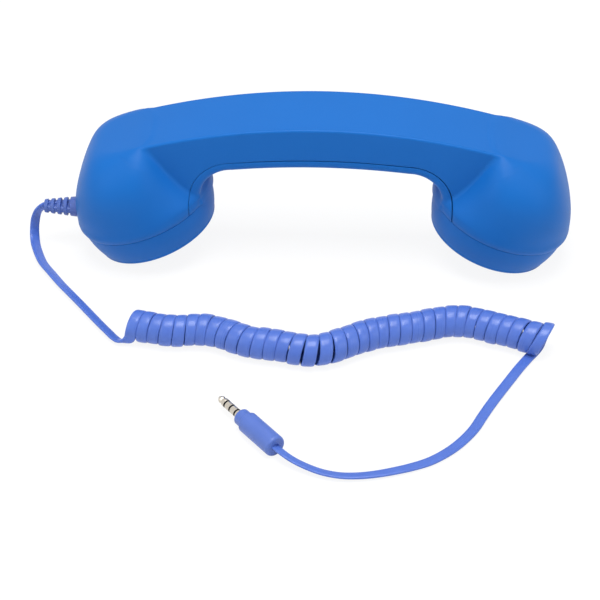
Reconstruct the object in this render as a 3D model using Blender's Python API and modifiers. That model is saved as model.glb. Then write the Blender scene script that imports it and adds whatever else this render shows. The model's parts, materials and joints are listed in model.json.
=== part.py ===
"""A retro telephone handset for a mobile phone, with its curly cord and a four-pole 3.5 mm plug.

The handset stands on the rims of its two round caps. X runs along it with the earpiece at +X,
-Y is the front and Z is up. The origin is on the table, under the middle of the handset.
"""

import math

import bmesh
import bpy
import numpy as np
from mathutils import Matrix, Vector

# Handle. Its top and its underside are shallow arcs about two different centres
HANDLE_WIDTH = 0.0320
HANDLE_HEIGHT = 0.0188
TOP_HEIGHT = 0.0686
TOP_RADIUS = 0.266
UNDERSIDE_RADIUS = 0.330
TOP_EDGE = 0.0015
LOWER_EDGE = 0.0030
GRIP_FILLET = 0.0140
GRIP_MARGIN = 0.0033
LOWER_EDGE_MARGIN = 0.0150

# Cups. Each is a loft along its cap's tilted axis, from the chin circle to the end of the top
CAP_SPACING = 0.1422
CAP_TILT = math.radians(19.5)
CHIN_RADIUS = 0.0308
SEAM_INSET = 0.0010
SEAM_DEPTH = 0.0132
CHIN_DEPTH = 0.0165
CUP_TOP_DEPTH = 0.0484
CUP_TOP_LENGTH = 0.0310
CUP_TOP_PROUD = 0.0004
CUP_TOP_LEAN = -0.0036
CUP_TOP_POWER = 3.5
CUP_BULGE = 0.0040
CUP_FLARE = 1.8
END_EDGE = 0.0030
CUP_SIDES = 40
CUP_RINGS = 8
CAVITY_FALL = 1.1
CAVITY_START = 0.12
FOOT_LENGTH = 0.0060
FOOT_DROP = 0.0020
FOOT_RISE = 0.0080
HANDLE_OVERLAP = 0.0130
NOSE_DEPTH = 0.0300
NOSE_TAPER = 0.0020
NOSE_INSET = 0.0020
NOSE_GAP = 0.0002
NOSE_START = 0.0030
NOSE_END = 0.0100

# Shells
WALL = 0.0022
SEAM_RISE = 0.0042
BEND_STEP = 0.0100
CLEARANCE = 0.0003

# Caps
CAP_TAPER = 0.0035
CAP_EDGE = 0.0015
CAP_WALL = 0.0020
CAP_RIM_WIDTH = 0.0063
DISH_DEPTH = 0.0008
SPIGOT_HEIGHT = 0.0030
SPIGOT_WALL = 0.0016
HOLE_RADIUS = 0.0012
HOLE_SPACING = 0.0050
HOLE_MARGIN = 0.0030
MOUTH_HOLE_RINGS = ((0.0032, 6),)
SEAT_WALL = 0.0012
SEAT_HEIGHT = 0.0040

# Speaker, behind the ear cap
FELT_THICKNESS = 0.0005
SPEAKER_INSET = 0.0083
SPEAKER_HEIGHT = 0.0050
SPEAKER_WALL = 0.0014
SPEAKER_STEP = 0.0016
SPEAKER_LEDGE = 0.0016
SPEAKER_PLATE = 0.0010
SPEAKER_EDGE = 0.0008
VENT_RADIUS = 0.0050
DIAPHRAGM_THICKNESS = 0.0004
MAGNET_RADIUS = 0.0085
MAGNET_HEIGHT = 0.0036
MAGNET_EDGE = 0.0005
SPEAKER_LEAD_PLACE = (-0.0040, 0.0110)

# Microphone, behind the mouth cap
MIC_RADIUS = 0.0048
MIC_HEIGHT = 0.0034
BOOT_WALL = 0.0014
BOOT_FLOOR = 0.0006
BOOT_LEDGE = 0.0009
MIC_EDGE = 0.0004
MIC_LEAD_PLACE = (0.0, 0.0012)

# Call button and its switch, in the middle of the underside
BUTTON_RADIUS = 0.0045
BUTTON_PROUD = 0.0006
BUTTON_FLANGE = 0.0012
BUTTON_FLANGE_WIDTH = 0.0012
BUTTON_EDGE = 0.0004
SWITCH_SIZE = 0.0060
SWITCH_HEIGHT = 0.0032
SWITCH_GAP = 0.0014
PLUNGER_RADIUS = 0.0016
PLUNGER_LENGTH = 0.0031
SWITCH_LID = 0.0004
BOARD_LENGTH = 0.0300
BOARD_WIDTH = 0.0150
BOARD_THICKNESS = 0.0012
POST_OUT = 0.0100
POST_RADIUS = 0.0022
BOARD_SCREW_RADIUS = 0.0009
BOARD_SCREW_LENGTH = 0.0050

# Screws that hold the inner shell to the outer one, hidden under the caps
SCREW_INSET = 0.0095
SCREW_SIDE = 0.0032
SCREW_RADIUS = 0.0012
SCREW_LENGTH = 0.0120
BOSS_RADIUS = 0.0030
TAB_HEIGHT = 0.0345
TAB_BITE = 0.0010
TAB_MARGIN = 0.0045
TAB_THICKNESS = 0.0025

# Strain relief at the mouth end
RELIEF_STANDOFF = 0.0040
RELIEF_HEIGHT = 0.0179
RELIEF_LENGTH = 0.0132
RELIEF_COLLAR = 0.0020
RELIEF_BASE_RADIUS = 0.0044
RELIEF_TIP_RADIUS = 0.0029
RELIEF_CORE_RADIUS = 0.0020
RELIEF_RIBS = 4
RELIEF_GROOVE = 0.0011
RELIEF_EDGE = 0.0003
RELIEF_NECK_RADIUS = 0.0032
RELIEF_NECK_LENGTH = 0.0043
RELIEF_FLANGE_RADIUS = 0.0050
RELIEF_FLANGE = 0.0014
RELIEF_NOTCH = 0.0017
TIE_WALL = 0.0010
TIE_WIDTH = 0.0025

# Cord. It is flat, so its solids have the round section of about the same area
CORD_RADIUS = 0.0015
COIL_RADIUS = 0.0066
LEAD_RADIUS = 0.0005
LEAD_RISE = 0.0030
TAIL_STEP = 0.0040
COIL_STEP = 0.0080
LOWER_TAIL_STEP = 0.0060
INNER_STEP = 0.0042
LEAD_STEP = 0.0100

# Plug, with four poles
PLUG_RADIUS = 0.00175
PLUG_LENGTH = 0.0140
PLUG_PIN_RADIUS = 0.0006
PLUG_BORE_RADIUS = 0.0009
PLUG_DEPTH = 0.0060
TIP_LENGTH = 0.0042
RING_LENGTH = 0.00275
BAND_LENGTH = 0.0006
BAND_GAP = 0.00003
GRIP_RADIUS = 0.0044
PLUG_GRIP_LENGTH = 0.0245
GRIP_EDGE = 0.0008
GRIP_COLLAR_RADIUS = 0.0032
GRIP_COLLAR_LENGTH = 0.0026
GRIP_COLLAR_EDGE = 0.0003
PLUG_PLACE = (-0.0349, -0.1098)
PLUG_HEADING = math.radians(-49.3)

HALF_WIDTH = HANDLE_WIDTH / 2
HALF_GRIP = CAP_SPACING / 2 - CHIN_RADIUS - GRIP_MARGIN
UNDERSIDE_HEIGHT = TOP_HEIGHT - HANDLE_HEIGHT
CUP_TOP_WIDTH = HANDLE_WIDTH + 2 * CUP_TOP_PROUD
SEAM_RADIUS = CHIN_RADIUS - SEAM_INSET
CAP_RADIUS = SEAM_RADIUS - CAP_TAPER
DISH_RADIUS = CAP_RADIUS - CAP_RIM_WIDTH
SPEAKER_RADIUS = CAP_RADIUS - SPEAKER_INSET
SCREW_OUT = HALF_GRIP + GRIP_FILLET + SCREW_INSET
TAB_HALF_WIDTH = HALF_WIDTH - WALL - 2 * CLEARANCE
SCREW_APART = TAB_HALF_WIDTH - SCREW_SIDE
RELIEF_OUT = CAP_SPACING / 2 + CHIN_RADIUS + RELIEF_STANDOFF
FACE_HEIGHT = (CAP_RADIUS - CAP_EDGE) * math.sin(CAP_TILT) + CAP_EDGE * (1 - math.cos(CAP_TILT))

# Heights inside the caps, up from the rim, and inside the handle, up from its underside
CAP_FLOOR = DISH_DEPTH + CAP_WALL
FELT_TOP = CAP_FLOOR + CLEARANCE + FELT_THICKNESS
SPEAKER_TOP = FELT_TOP + CLEARANCE + SPEAKER_HEIGHT
MIC_TOP = CAP_FLOOR + CLEARANCE + BOOT_FLOOR + CLEARANCE + MIC_HEIGHT
BORE_RADIUS = SEAM_RADIUS - WALL
BUTTON_TOP = WALL + CLEARANCE + BUTTON_FLANGE
SWITCH_BASE = BUTTON_TOP + SWITCH_GAP
BOARD_BASE = UNDERSIDE_HEIGHT + SWITCH_BASE + SWITCH_HEIGHT + CLEARANCE
BOARD_TOP = BOARD_BASE + BOARD_THICKNESS

# Route of the free cord from the strain relief, down to the table and along it to the coil
UPPER_TAIL = (
    (-0.1199, 0.0, RELIEF_HEIGHT),
    (-0.1212, 0.0, 0.0178),
    (-0.1229, 0.0, 0.0164),
    (-0.1242, 0.0003, 0.0128),
    (-0.1251, 0.0008, 0.0086),
    (-0.1253, 0.0, 0.0044),
    (-0.1247, -0.0028, 0.0022),
    (-0.1234, -0.0073, 0.0018),
    (-0.1189, -0.0175, 0.0018),
    (-0.1116, -0.0295, 0.0018),
    (-0.1040, -0.0413, 0.0018),
    (-0.0967, -0.0518, 0.0018),
    (-0.0894, -0.0621, 0.0018),
    (-0.0832, -0.0704, 0.0018),
    (-0.0803, -0.0730, 0.0019),
    (-0.0773, -0.0736, 0.0022),
)

# Middle line of the coil, on the table in front of the handset
COIL_ROUTE = (
    (-0.0762, -0.0684, COIL_RADIUS),
    (-0.0550, -0.0706, COIL_RADIUS),
    (-0.0385, -0.0724, COIL_RADIUS),
    (-0.0214, -0.0776, COIL_RADIUS),
    (-0.0040, -0.0820, COIL_RADIUS),
    (0.0090, -0.0792, COIL_RADIUS),
    (0.0200, -0.0715, COIL_RADIUS),
    (0.0355, -0.0662, COIL_RADIUS),
    (0.0545, -0.0606, COIL_RADIUS),
    (0.0690, -0.0616, COIL_RADIUS),
    (0.0810, -0.0658, COIL_RADIUS),
    (0.0900, -0.0696, COIL_RADIUS),
)

# Route from the coil's last turn, round the front and up into the plug
LOWER_TAIL = (
    (0.0866, -0.0749, 0.0018),
    (0.0858, -0.0773, 0.0018),
    (0.0819, -0.0868, 0.0018),
    (0.0764, -0.0970, 0.0018),
    (0.0714, -0.1069, 0.0018),
    (0.0673, -0.1177, 0.0018),
    (0.0627, -0.1273, 0.0018),
    (0.0560, -0.1353, 0.0018),
    (0.0469, -0.1423, 0.0018),
    (0.0366, -0.1478, 0.0018),
    (0.0269, -0.1512, 0.0018),
    (0.0173, -0.1529, 0.0019),
    (0.0085, -0.1520, 0.0025),
    (0.0010, -0.1485, 0.0036),
    (-0.0052, -0.1442, 0.0043),
    (-0.0077, -0.1414, GRIP_RADIUS),
)

# Routes inside the handset. A lead starts at its cap and follows the same route on either side
INNER_CORD = (
    (0.0060 - RELIEF_OUT, 0.0, RELIEF_HEIGHT),
    (0.0093 - RELIEF_OUT, 0.0, RELIEF_HEIGHT),
    (0.0124 - RELIEF_OUT, 0.0, RELIEF_HEIGHT + 0.0011),
    (0.0164 - RELIEF_OUT, 0.0, RELIEF_HEIGHT + 0.0071),
    (0.0219 - RELIEF_OUT, 0.0, UNDERSIDE_HEIGHT - 0.0118),
    (-0.0740, 0.0, UNDERSIDE_HEIGHT + 0.0002),
    (-0.0605, 0.0, UNDERSIDE_HEIGHT + 0.0052),
    (-0.0450, 0.0, UNDERSIDE_HEIGHT + 0.0077),
    (-0.0300, 0.0, UNDERSIDE_HEIGHT + 0.0092),
    (-0.0156, 0.0, UNDERSIDE_HEIGHT + 0.0095),
)
LEAD_ROUTE = (
    (0.0750, 0.0055, UNDERSIDE_HEIGHT - 0.0158),
    (0.0690, 0.0045, UNDERSIDE_HEIGHT - 0.0028),
    (0.0605, 0.0042, UNDERSIDE_HEIGHT + 0.0032),
    (0.0450, 0.0040, UNDERSIDE_HEIGHT + 0.0064),
    (0.0300, 0.0045, UNDERSIDE_HEIGHT + 0.0092),
    (0.0200, 0.0052, UNDERSIDE_HEIGHT + 0.0107),
    (0.0120, 0.0055, BOARD_TOP + CLEARANCE + LEAD_RADIUS),
)


def new_collection(name):
    collection = bpy.data.collections.new(name)
    bpy.context.scene.collection.children.link(collection)
    return collection


def clear_scene():
    for obj in list(bpy.data.objects):
        bpy.data.objects.remove(obj, do_unlink=True)


def material(name, colour, roughness, metallic=0.0):
    """A Principled material; the colour is linear RGB."""
    made = bpy.data.materials.new(name)
    made.use_nodes = True
    shader = made.node_tree.nodes["Principled BSDF"]
    shader.inputs["Base Color"].default_value = (*colour, 1.0)
    shader.inputs["Roughness"].default_value = roughness
    shader.inputs["Metallic"].default_value = metallic
    return made


def link(name, data, look, collection, parent=None, matrix=None):
    """Puts mesh or curve data in the scene as one named piece."""
    data.name = name
    obj = bpy.data.objects.new(name, data)
    collection.objects.link(obj)
    if look:
        data.materials.append(look)
    if parent:
        obj.parent = parent
    if matrix:
        obj.matrix_local = matrix
    return obj


def cutter(obj):
    """Marks an object as a helper that only shapes another."""
    obj.hide_render = True
    obj.display_type = "WIRE"
    return obj


def smooth(obj, angle=35):
    """Shades the object smooth, apart from edges that turn by more than the angle."""
    obj.data.shade_smooth()
    obj.data.set_sharp_from_angle(angle=math.radians(angle))


def boolean(obj, other, operation):
    modifier = obj.modifiers.new(operation.title(), "BOOLEAN")
    modifier.operation = operation
    modifier.solver = "EXACT"
    modifier.object = other
    return modifier


def applied(obj):
    """Replaces the object's mesh by the one its modifiers make."""
    graph = bpy.context.evaluated_depsgraph_get()
    mesh = bpy.data.meshes.new_from_object(obj.evaluated_get(graph))
    obj.modifiers.clear()
    obj.data = mesh
    return obj


def box_mesh(low, high):
    """A box between two corners."""
    low, high = Vector(low), Vector(high)
    mesh = bpy.data.meshes.new("box")
    bm = bmesh.new()
    bmesh.ops.create_cube(bm, size=1.0)
    size = high - low
    bmesh.ops.scale(bm, vec=size, verts=bm.verts)
    bmesh.ops.translate(bm, vec=(low + high) / 2, verts=bm.verts)
    bm.to_mesh(mesh)
    bm.free()
    return mesh


def rod_mesh(radius, low, high, sides=24, places=((0.0, 0.0),)):
    """Upright cylinders between two heights, one at each place."""
    mesh = bpy.data.meshes.new("rod")
    bm = bmesh.new()
    for x, y in places:
        at = Matrix.Translation((x, y, (low + high) / 2))
        bmesh.ops.create_cone(
            bm,
            cap_ends=True,
            segments=sides,
            radius1=radius,
            radius2=radius,
            depth=high - low,
            matrix=at,
        )
    bm.to_mesh(mesh)
    bm.free()
    return mesh


def turned(name, profile, look, collection, parent=None, matrix=None, steps=32, closed=False):
    """A solid of revolution about Z. The profile lists (radius, height) down its outer side."""
    mesh = bpy.data.meshes.new(name)
    points = [(radius, 0.0, height) for radius, height in profile]
    edges = [(i, i + 1) for i in range(len(points) - 1)]
    if closed:
        edges.append((len(points) - 1, 0))
    mesh.from_pydata(points, edges, [])
    obj = link(name, mesh, look, collection, parent, matrix)
    screw = obj.modifiers.new("Turn", "SCREW")
    screw.axis = "Z"
    screw.steps = steps
    screw.render_steps = steps
    screw.use_merge_vertices = True
    screw.merge_threshold = 0.000001
    screw.use_smooth_shade = True
    return obj


def sleeve(name, radius, bore, low, high, look, parts, place):
    """A plain ring between two heights of a frame."""
    profile = [(bore, high), (radius, high), (radius, low), (bore, low)]
    return turned(name, profile, look, parts, matrix=place, steps=16, closed=True)


def arc(centre, radius, start, end, steps):
    """Points on an arc, by angles in degrees."""
    angles = np.radians(np.linspace(start, end, steps + 1))
    return [(centre[0] + radius * math.cos(a), centre[1] + radius * math.sin(a)) for a in angles]


def smooth_route(points, spacing):
    """Points at an even spacing on the Catmull-Rom curve through a route's points."""
    points = np.array(points)
    ends = np.vstack([2 * points[0] - points[1], points, 2 * points[-1] - points[-2]])
    share = np.linspace(0, 1, 12, endpoint=False)[:, None]
    curve = []
    for a, b, c, d in zip(ends, ends[1:], ends[2:], ends[3:]):
        cubic = (3 * b - a - 3 * c + d) * share**3
        curve.append(0.5 * (2 * b + (c - a) * share + (2 * a - 5 * b + 4 * c - d) * share**2 + cubic))
    curve = np.vstack([*curve, points[-1:]])
    along = np.concatenate([[0], np.cumsum(np.linalg.norm(np.diff(curve, axis=0), axis=1))])
    count = max(2, round(along[-1] / spacing) + 1)
    places = np.linspace(0, along[-1], count)
    return np.column_stack([np.interp(places, along, axis) for axis in curve.T])


def tube(name, points, radius, look, collection, resolution=2):
    """A round cord or wire through the points, with filled ends."""
    curve = bpy.data.curves.new(name, "CURVE")
    curve.dimensions = "3D"
    curve.bevel_depth = radius
    curve.bevel_resolution = resolution
    curve.use_fill_caps = True
    spline = curve.splines.new("POLY")
    spline.points.add(len(points) - 1)
    for point, place in zip(spline.points, points):
        point.co = (*place, 1.0)
    spline.use_smooth = True
    return link(name, curve, look, collection)


def top_height(x):
    """Height of the handset's top above the table at x."""
    return TOP_HEIGHT - x * x / (2 * TOP_RADIUS)


def underside_height(x):
    return UNDERSIDE_HEIGHT - x * x / (2 * UNDERSIDE_RADIUS)


def fillet_height():
    """Height of the axis of the fillet between the underside and the upright foot."""
    return underside_height(HALF_GRIP) - GRIP_FILLET


def cap_matrix(side):
    """Frame of a cap: its origin is the middle of the face, and +Z runs up the cap's axis."""
    turn = Matrix.Rotation(side * CAP_TILT, 4, "Y")
    return Matrix.Translation((side * CAP_SPACING / 2, 0.0, FACE_HEIGHT)) @ turn


def cup_section(share):
    """Lean, half length, half width and power of the cup's oval at a share of its height."""
    lean = CUP_TOP_LEAN * share**4 + CUP_BULGE * share * (1 - share)
    half_length = CHIN_RADIUS + (CUP_TOP_LENGTH / 2 - CHIN_RADIUS) * share
    half_width = CHIN_RADIUS + (CUP_TOP_WIDTH / 2 - CHIN_RADIUS) * share**CUP_FLARE
    power = 2 + (CUP_TOP_POWER - 2) * share
    return lean, half_length, half_width, power


def cup_ring(side, share, inset, shrink, sides):
    """One ring of the cup's loft, with heights measured down from the handset's arched top."""
    lean, half_length, half_width, power = cup_section(share)
    angles = np.linspace(0, 2 * math.pi, sides, endpoint=False)
    cosine, sine = np.cos(angles), np.sin(angles)
    along = lean + (half_length - inset - shrink) * np.sign(cosine) * np.abs(cosine) ** (2 / power)
    across = (half_width - inset - shrink / 2) * np.sign(sine) * np.abs(sine) ** (2 / power)
    depth = CHIN_DEPTH + (CUP_TOP_DEPTH - CHIN_DEPTH) * share
    x = CAP_SPACING / 2 + along * math.cos(CAP_TILT) + depth * math.sin(CAP_TILT)
    foot = (CHIN_RADIUS - inset) * cosine
    chin_height = FACE_HEIGHT - foot * math.sin(CAP_TILT) + CHIN_DEPTH * math.cos(CAP_TILT)
    drop = (1 - share) * (chin_height - top_height(x)) - share * CAVITY_FALL * inset
    return np.column_stack([side * x, across, drop])


def collar_ring(side, depth, radius, sides):
    """A circle about the cap's axis, in the same bent heights as the cup's rings."""
    angles = np.linspace(0, 2 * math.pi, sides, endpoint=False)
    along = radius * np.cos(angles)
    x = CAP_SPACING / 2 + along * math.cos(CAP_TILT) + depth * math.sin(CAP_TILT)
    height = FACE_HEIGHT - along * math.sin(CAP_TILT) + depth * math.cos(CAP_TILT)
    return np.column_stack([side * x, radius * np.sin(angles), height - top_height(x)])


def loft_mesh(rings):
    """A closed skin over rings that have the same number of points."""
    sides = len(rings[0])
    faces = []
    for row in range(len(rings) - 1):
        for i in range(sides):
            j = (i + 1) % sides
            a, b = row * sides, (row + 1) * sides
            faces.append((a + i, a + j, b + j, b + i))
    faces.append(tuple(range(sides))[::-1])
    faces.append(tuple(range((len(rings) - 1) * sides, len(rings) * sides)))
    mesh = bpy.data.meshes.new("loft")
    mesh.from_pydata(np.vstack(rings).tolist(), [], faces)
    bm = bmesh.new()
    bm.from_mesh(mesh)
    bmesh.ops.recalc_face_normals(bm, faces=bm.faces)
    bm.to_mesh(mesh)
    bm.free()
    return mesh


def cup_mesh(side, inset):
    """The cup, from the seam of its cap up to the rounded end of the top."""
    sides = CUP_SIDES if inset == 0 else CUP_SIDES * 2 // 3
    if inset == 0:
        rings = [collar_ring(side, SEAM_DEPTH + CLEARANCE, SEAM_RADIUS, sides)]
    else:
        rings = [collar_ring(side, SEAM_DEPTH - WALL, BORE_RADIUS, sides)]
        rings.append(collar_ring(side, SEAM_DEPTH + SPIGOT_HEIGHT, BORE_RADIUS, sides))
    lowest = 0.0 if inset == 0 else CAVITY_START
    for share in np.linspace(lowest, 0.94, CUP_RINGS if inset == 0 else CUP_RINGS // 2):
        rings.append(cup_ring(side, share, inset, 0.0, sides))
    low, corner = rings[-1], cup_ring(side, 1.0, inset, 0.0, sides)
    high = cup_ring(side, 1.0, inset, END_EDGE, sides)
    for turn in (0.4, 0.7, 1.0):
        rings.append((1 - turn) ** 2 * low + 2 * turn * (1 - turn) * corner + turn**2 * high)
    return loft_mesh(rings)


def underside(rise):
    """Half of the underside's side view, out to the upright foot, moved up into the handle by a rise."""
    flat = [(x, underside_height(x) + rise) for x in np.linspace(0, HALF_GRIP, 8)]
    return flat + arc((HALF_GRIP, fillet_height()), GRIP_FILLET + rise, 90, 0, 9)[1:]


def handle_outline(inset):
    """Side view of the handle and its two feet, as (x, z) in the bent heights."""
    half = underside(inset)
    foot_x, foot_z = half[-1][0], half[-1][1] - FOOT_DROP + inset
    cup_x = CAP_SPACING / 2 + HANDLE_OVERLAP
    half += [(foot_x, foot_z), (foot_x + FOOT_LENGTH, foot_z), (cup_x, foot_z + FOOT_RISE)]
    points = [(x, z - top_height(x)) for x, z in half]
    points.append((cup_x, -inset))
    return [(-x, z) for x, z in points[:0:-1]] + points


def handle_mesh(inset):
    """The handle as a slab. Its long edges are rounded outside, and left square in the cavity."""
    mesh = prism_mesh(handle_outline(inset), HALF_WIDTH - inset)
    if inset:
        return mesh
    bm = bmesh.new()
    bm.from_mesh(mesh)

    def lengthwise(edge):
        a, b = (vert.co for vert in edge.verts)
        return abs(a.y - b.y) < 1e-6

    reach = CAP_SPACING / 2 - LOWER_EDGE_MARGIN
    low = [e for e in bm.edges if lengthwise(e) and max(abs(v.co.x) for v in e.verts) < reach]
    low = [e for e in low if max(v.co.z for v in e.verts) < -0.001]
    bmesh.ops.bevel(bm, geom=low, offset=LOWER_EDGE, segments=2, profile=0.5, affect="EDGES")
    top = [e for e in bm.edges if lengthwise(e) and min(v.co.z for v in e.verts) > -1e-6]
    bmesh.ops.bevel(bm, geom=top, offset=TOP_EDGE, segments=2, profile=0.5, affect="EDGES")
    for vert in bm.verts:
        if abs(vert.co.z) < 1e-6:
            vert.co.z = 0.0
    bm.to_mesh(mesh)
    bm.free()
    return mesh


def nose_mesh(side, collection):
    """The round inner wall of a cup where the handle's fillet comes down to it."""
    rings = [
        collar_ring(side, CHIN_DEPTH + 2 * NOSE_GAP, CHIN_RADIUS - NOSE_GAP, CUP_SIDES),
        collar_ring(side, NOSE_DEPTH, CHIN_RADIUS - NOSE_TAPER, CUP_SIDES),
    ]
    ends = sorted((side * (HALF_GRIP + NOSE_START), side * (CAP_SPACING / 2 - NOSE_END)))
    half_width = HALF_WIDTH - NOSE_INSET
    low = (ends[0], -half_width, -TOP_HEIGHT)
    slab = link("slab", box_mesh(low, (ends[1], half_width, 0.0)), None, collection)
    nose = link("nose", loft_mesh(rings), None, collection)
    boolean(nose, slab, "INTERSECT")
    applied(nose)
    mesh = nose.data
    for helper in (slab, nose):
        bpy.data.objects.remove(helper, do_unlink=True)
    return mesh


def bend(obj):
    """Cuts the long faces into steps and lowers each point by the drop of the top's arc."""
    bm = bmesh.new()
    bm.from_mesh(obj.data)
    reach = max(vert.co.x for vert in bm.verts)
    count = int(reach / BEND_STEP)
    for step in range(-count, count + 1):
        wide = [f for f in bm.faces if f.calc_area() > 0 and np.ptp([v.co.x for v in f.verts]) > BEND_STEP]
        edges = {edge for face in wide for edge in face.edges}
        verts = {vert for face in wide for vert in face.verts}
        bmesh.ops.bisect_plane(
            bm,
            geom=[*wide, *edges, *verts],
            dist=1e-6,
            plane_co=(step * BEND_STEP, 0, 0),
            plane_no=(1, 0, 0),
        )
    for vert in bm.verts:
        vert.co.z += top_height(vert.co.x)
    bmesh.ops.triangulate(bm, faces=[f for f in bm.faces if len(f.verts) > 4])
    bm.to_mesh(obj.data)
    bm.free()
    return obj


def body_solid(name, inset, collection):
    """The handset's whole form, drawn in by a wall. It is modelled under a flat top and then bent."""
    solid = link(name, handle_mesh(inset), None, collection)
    for side in (-1, 1):
        meshes = [cup_mesh(side, inset)]
        if inset == 0:
            meshes.insert(0, nose_mesh(side, collection))
        for mesh in meshes:
            helper = link("joined", mesh, None, collection)
            boolean(solid, helper, "UNION")
            applied(solid)
            bpy.data.objects.remove(helper, do_unlink=True)
    return cutter(bend(solid))


def prism_mesh(outline, half_depth):
    """A side view, as (x, z), drawn out to both sides."""
    mesh = bpy.data.meshes.new("prism")
    bm = bmesh.new()
    face = bm.faces.new([bm.verts.new((x, -half_depth, z)) for x, z in outline])
    grown = bmesh.ops.extrude_face_region(bm, geom=[face])
    moved = [item for item in grown["geom"] if isinstance(item, bmesh.types.BMVert)]
    bmesh.ops.translate(bm, vec=(0, 2 * half_depth, 0), verts=moved)
    bmesh.ops.recalc_face_normals(bm, faces=bm.faces)
    bm.to_mesh(mesh)
    bm.free()
    return mesh


def seam_cutter(name, gap, collection):
    """The space below the seam between the shells, grown by a gap."""
    half = underside(SEAM_RISE + gap)
    half.append((half[-1][0], -WALL))
    outline = [(-x, z) for x, z in half[:0:-1]] + half
    return cutter(link(name, prism_mesh(outline, 2 * HANDLE_WIDTH), None, collection))


def shape(obj, name, mesh, operation, helpers, matrix=None):
    """Joins a helper solid to the object, or cuts it away."""
    helper = cutter(link(name, mesh, None, helpers, matrix=matrix))
    boolean(obj, helper, operation)


def ring_places(rings):
    """Places on circles about the axis, each ring given as its radius and its count."""
    places = []
    for radius, count in rings:
        for turn in np.linspace(0, 2 * math.pi, count, endpoint=False):
            places.append((radius * math.cos(turn), radius * math.sin(turn)))
    return places


def make_shells(blue, parts, helpers):
    """The two shells. The inner one is the underside with the inner walls of the cups."""
    outer = body_solid("body_outside", 0.0, helpers)
    inner = body_solid("body_inside", WALL, helpers)
    below = seam_cutter("below_seam", -CLEARANCE / 2, helpers)
    above = seam_cutter("above_seam", CLEARANCE / 2, helpers)

    outer_shell = link("outer_shell", outer.data.copy(), blue, parts)
    boolean(outer_shell, inner, "DIFFERENCE")
    boolean(outer_shell, above, "DIFFERENCE")
    inner_shell = link("inner_shell", outer.data.copy(), blue, parts)
    boolean(inner_shell, inner, "DIFFERENCE")
    boolean(inner_shell, below, "INTERSECT")

    screws = [(x, y) for x in (-SCREW_OUT, SCREW_OUT) for y in (-SCREW_APART, SCREW_APART)]
    boss_top = top_height(SCREW_OUT) - WALL / 2
    boss_base = TAB_HEIGHT + TAB_THICKNESS + CLEARANCE
    bosses = rod_mesh(BOSS_RADIUS, boss_base, boss_top, 12, screws)
    shape(outer_shell, "bosses", bosses, "UNION", helpers)
    pilot = SCREW_RADIUS + CLEARANCE
    pilot_top = TAB_HEIGHT + SCREW_LENGTH + CLEARANCE
    pilots = rod_mesh(pilot, boss_base - 0.001, pilot_top, 10, screws)
    shape(outer_shell, "boss_pilots", pilots, "DIFFERENCE", helpers)
    posts = [(-POST_OUT, 0.0), (POST_OUT, 0.0)]
    post_base = BOARD_TOP + CLEARANCE
    post_rods = rod_mesh(POST_RADIUS, post_base, top_height(POST_OUT) - WALL / 2, 12, posts)
    shape(outer_shell, "board_posts", post_rods, "UNION", helpers)
    bore = BOARD_SCREW_RADIUS + CLEARANCE
    bore_top = BOARD_BASE + BOARD_SCREW_LENGTH + CLEARANCE
    post_pilots = rod_mesh(bore, post_base - 0.001, bore_top, 12, posts)
    shape(outer_shell, "post_pilots", post_pilots, "DIFFERENCE", helpers)
    turn = Matrix.Translation((-RELIEF_OUT, 0.0, RELIEF_HEIGHT)) @ Matrix.Rotation(math.radians(90), 4, "Y")
    relief_hole = rod_mesh(RELIEF_NECK_RADIUS + CLEARANCE, -0.004, 0.006, 24)
    shape(outer_shell, "relief_hole", relief_hole, "DIFFERENCE", helpers, turn)

    # A tab starts within the fillet's wall, at its own height, and runs past its screws
    rise = max(TAB_HEIGHT + TAB_THICKNESS / 2 - fillet_height(), 0.0)
    wall_x = HALF_GRIP + math.sqrt((GRIP_FILLET + WALL - CLEARANCE) ** 2 - rise**2)
    tab_start = min(wall_x, HALF_GRIP + GRIP_FILLET + TAB_BITE)
    for side, name in ((-1, "left_tab"), (1, "right_tab")):
        ends = sorted((side * tab_start, side * (SCREW_OUT + TAB_MARGIN)))
        low = (ends[0], -TAB_HALF_WIDTH, TAB_HEIGHT)
        high = (ends[1], TAB_HALF_WIDTH, TAB_HEIGHT + TAB_THICKNESS)
        shape(inner_shell, name, box_mesh(low, high), "UNION", helpers)
    tab_holes = rod_mesh(pilot, TAB_HEIGHT - 0.001, boss_base, 10, screws)
    shape(inner_shell, "tab_holes", tab_holes, "DIFFERENCE", helpers)
    hole_base = UNDERSIDE_HEIGHT - 0.002
    button_hole = rod_mesh(BUTTON_RADIUS + CLEARANCE, hole_base, UNDERSIDE_HEIGHT + WALL + 0.002, 20)
    shape(inner_shell, "button_hole", button_hole, "DIFFERENCE", helpers)
    smooth(applied(outer_shell))
    smooth(applied(inner_shell))


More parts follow.
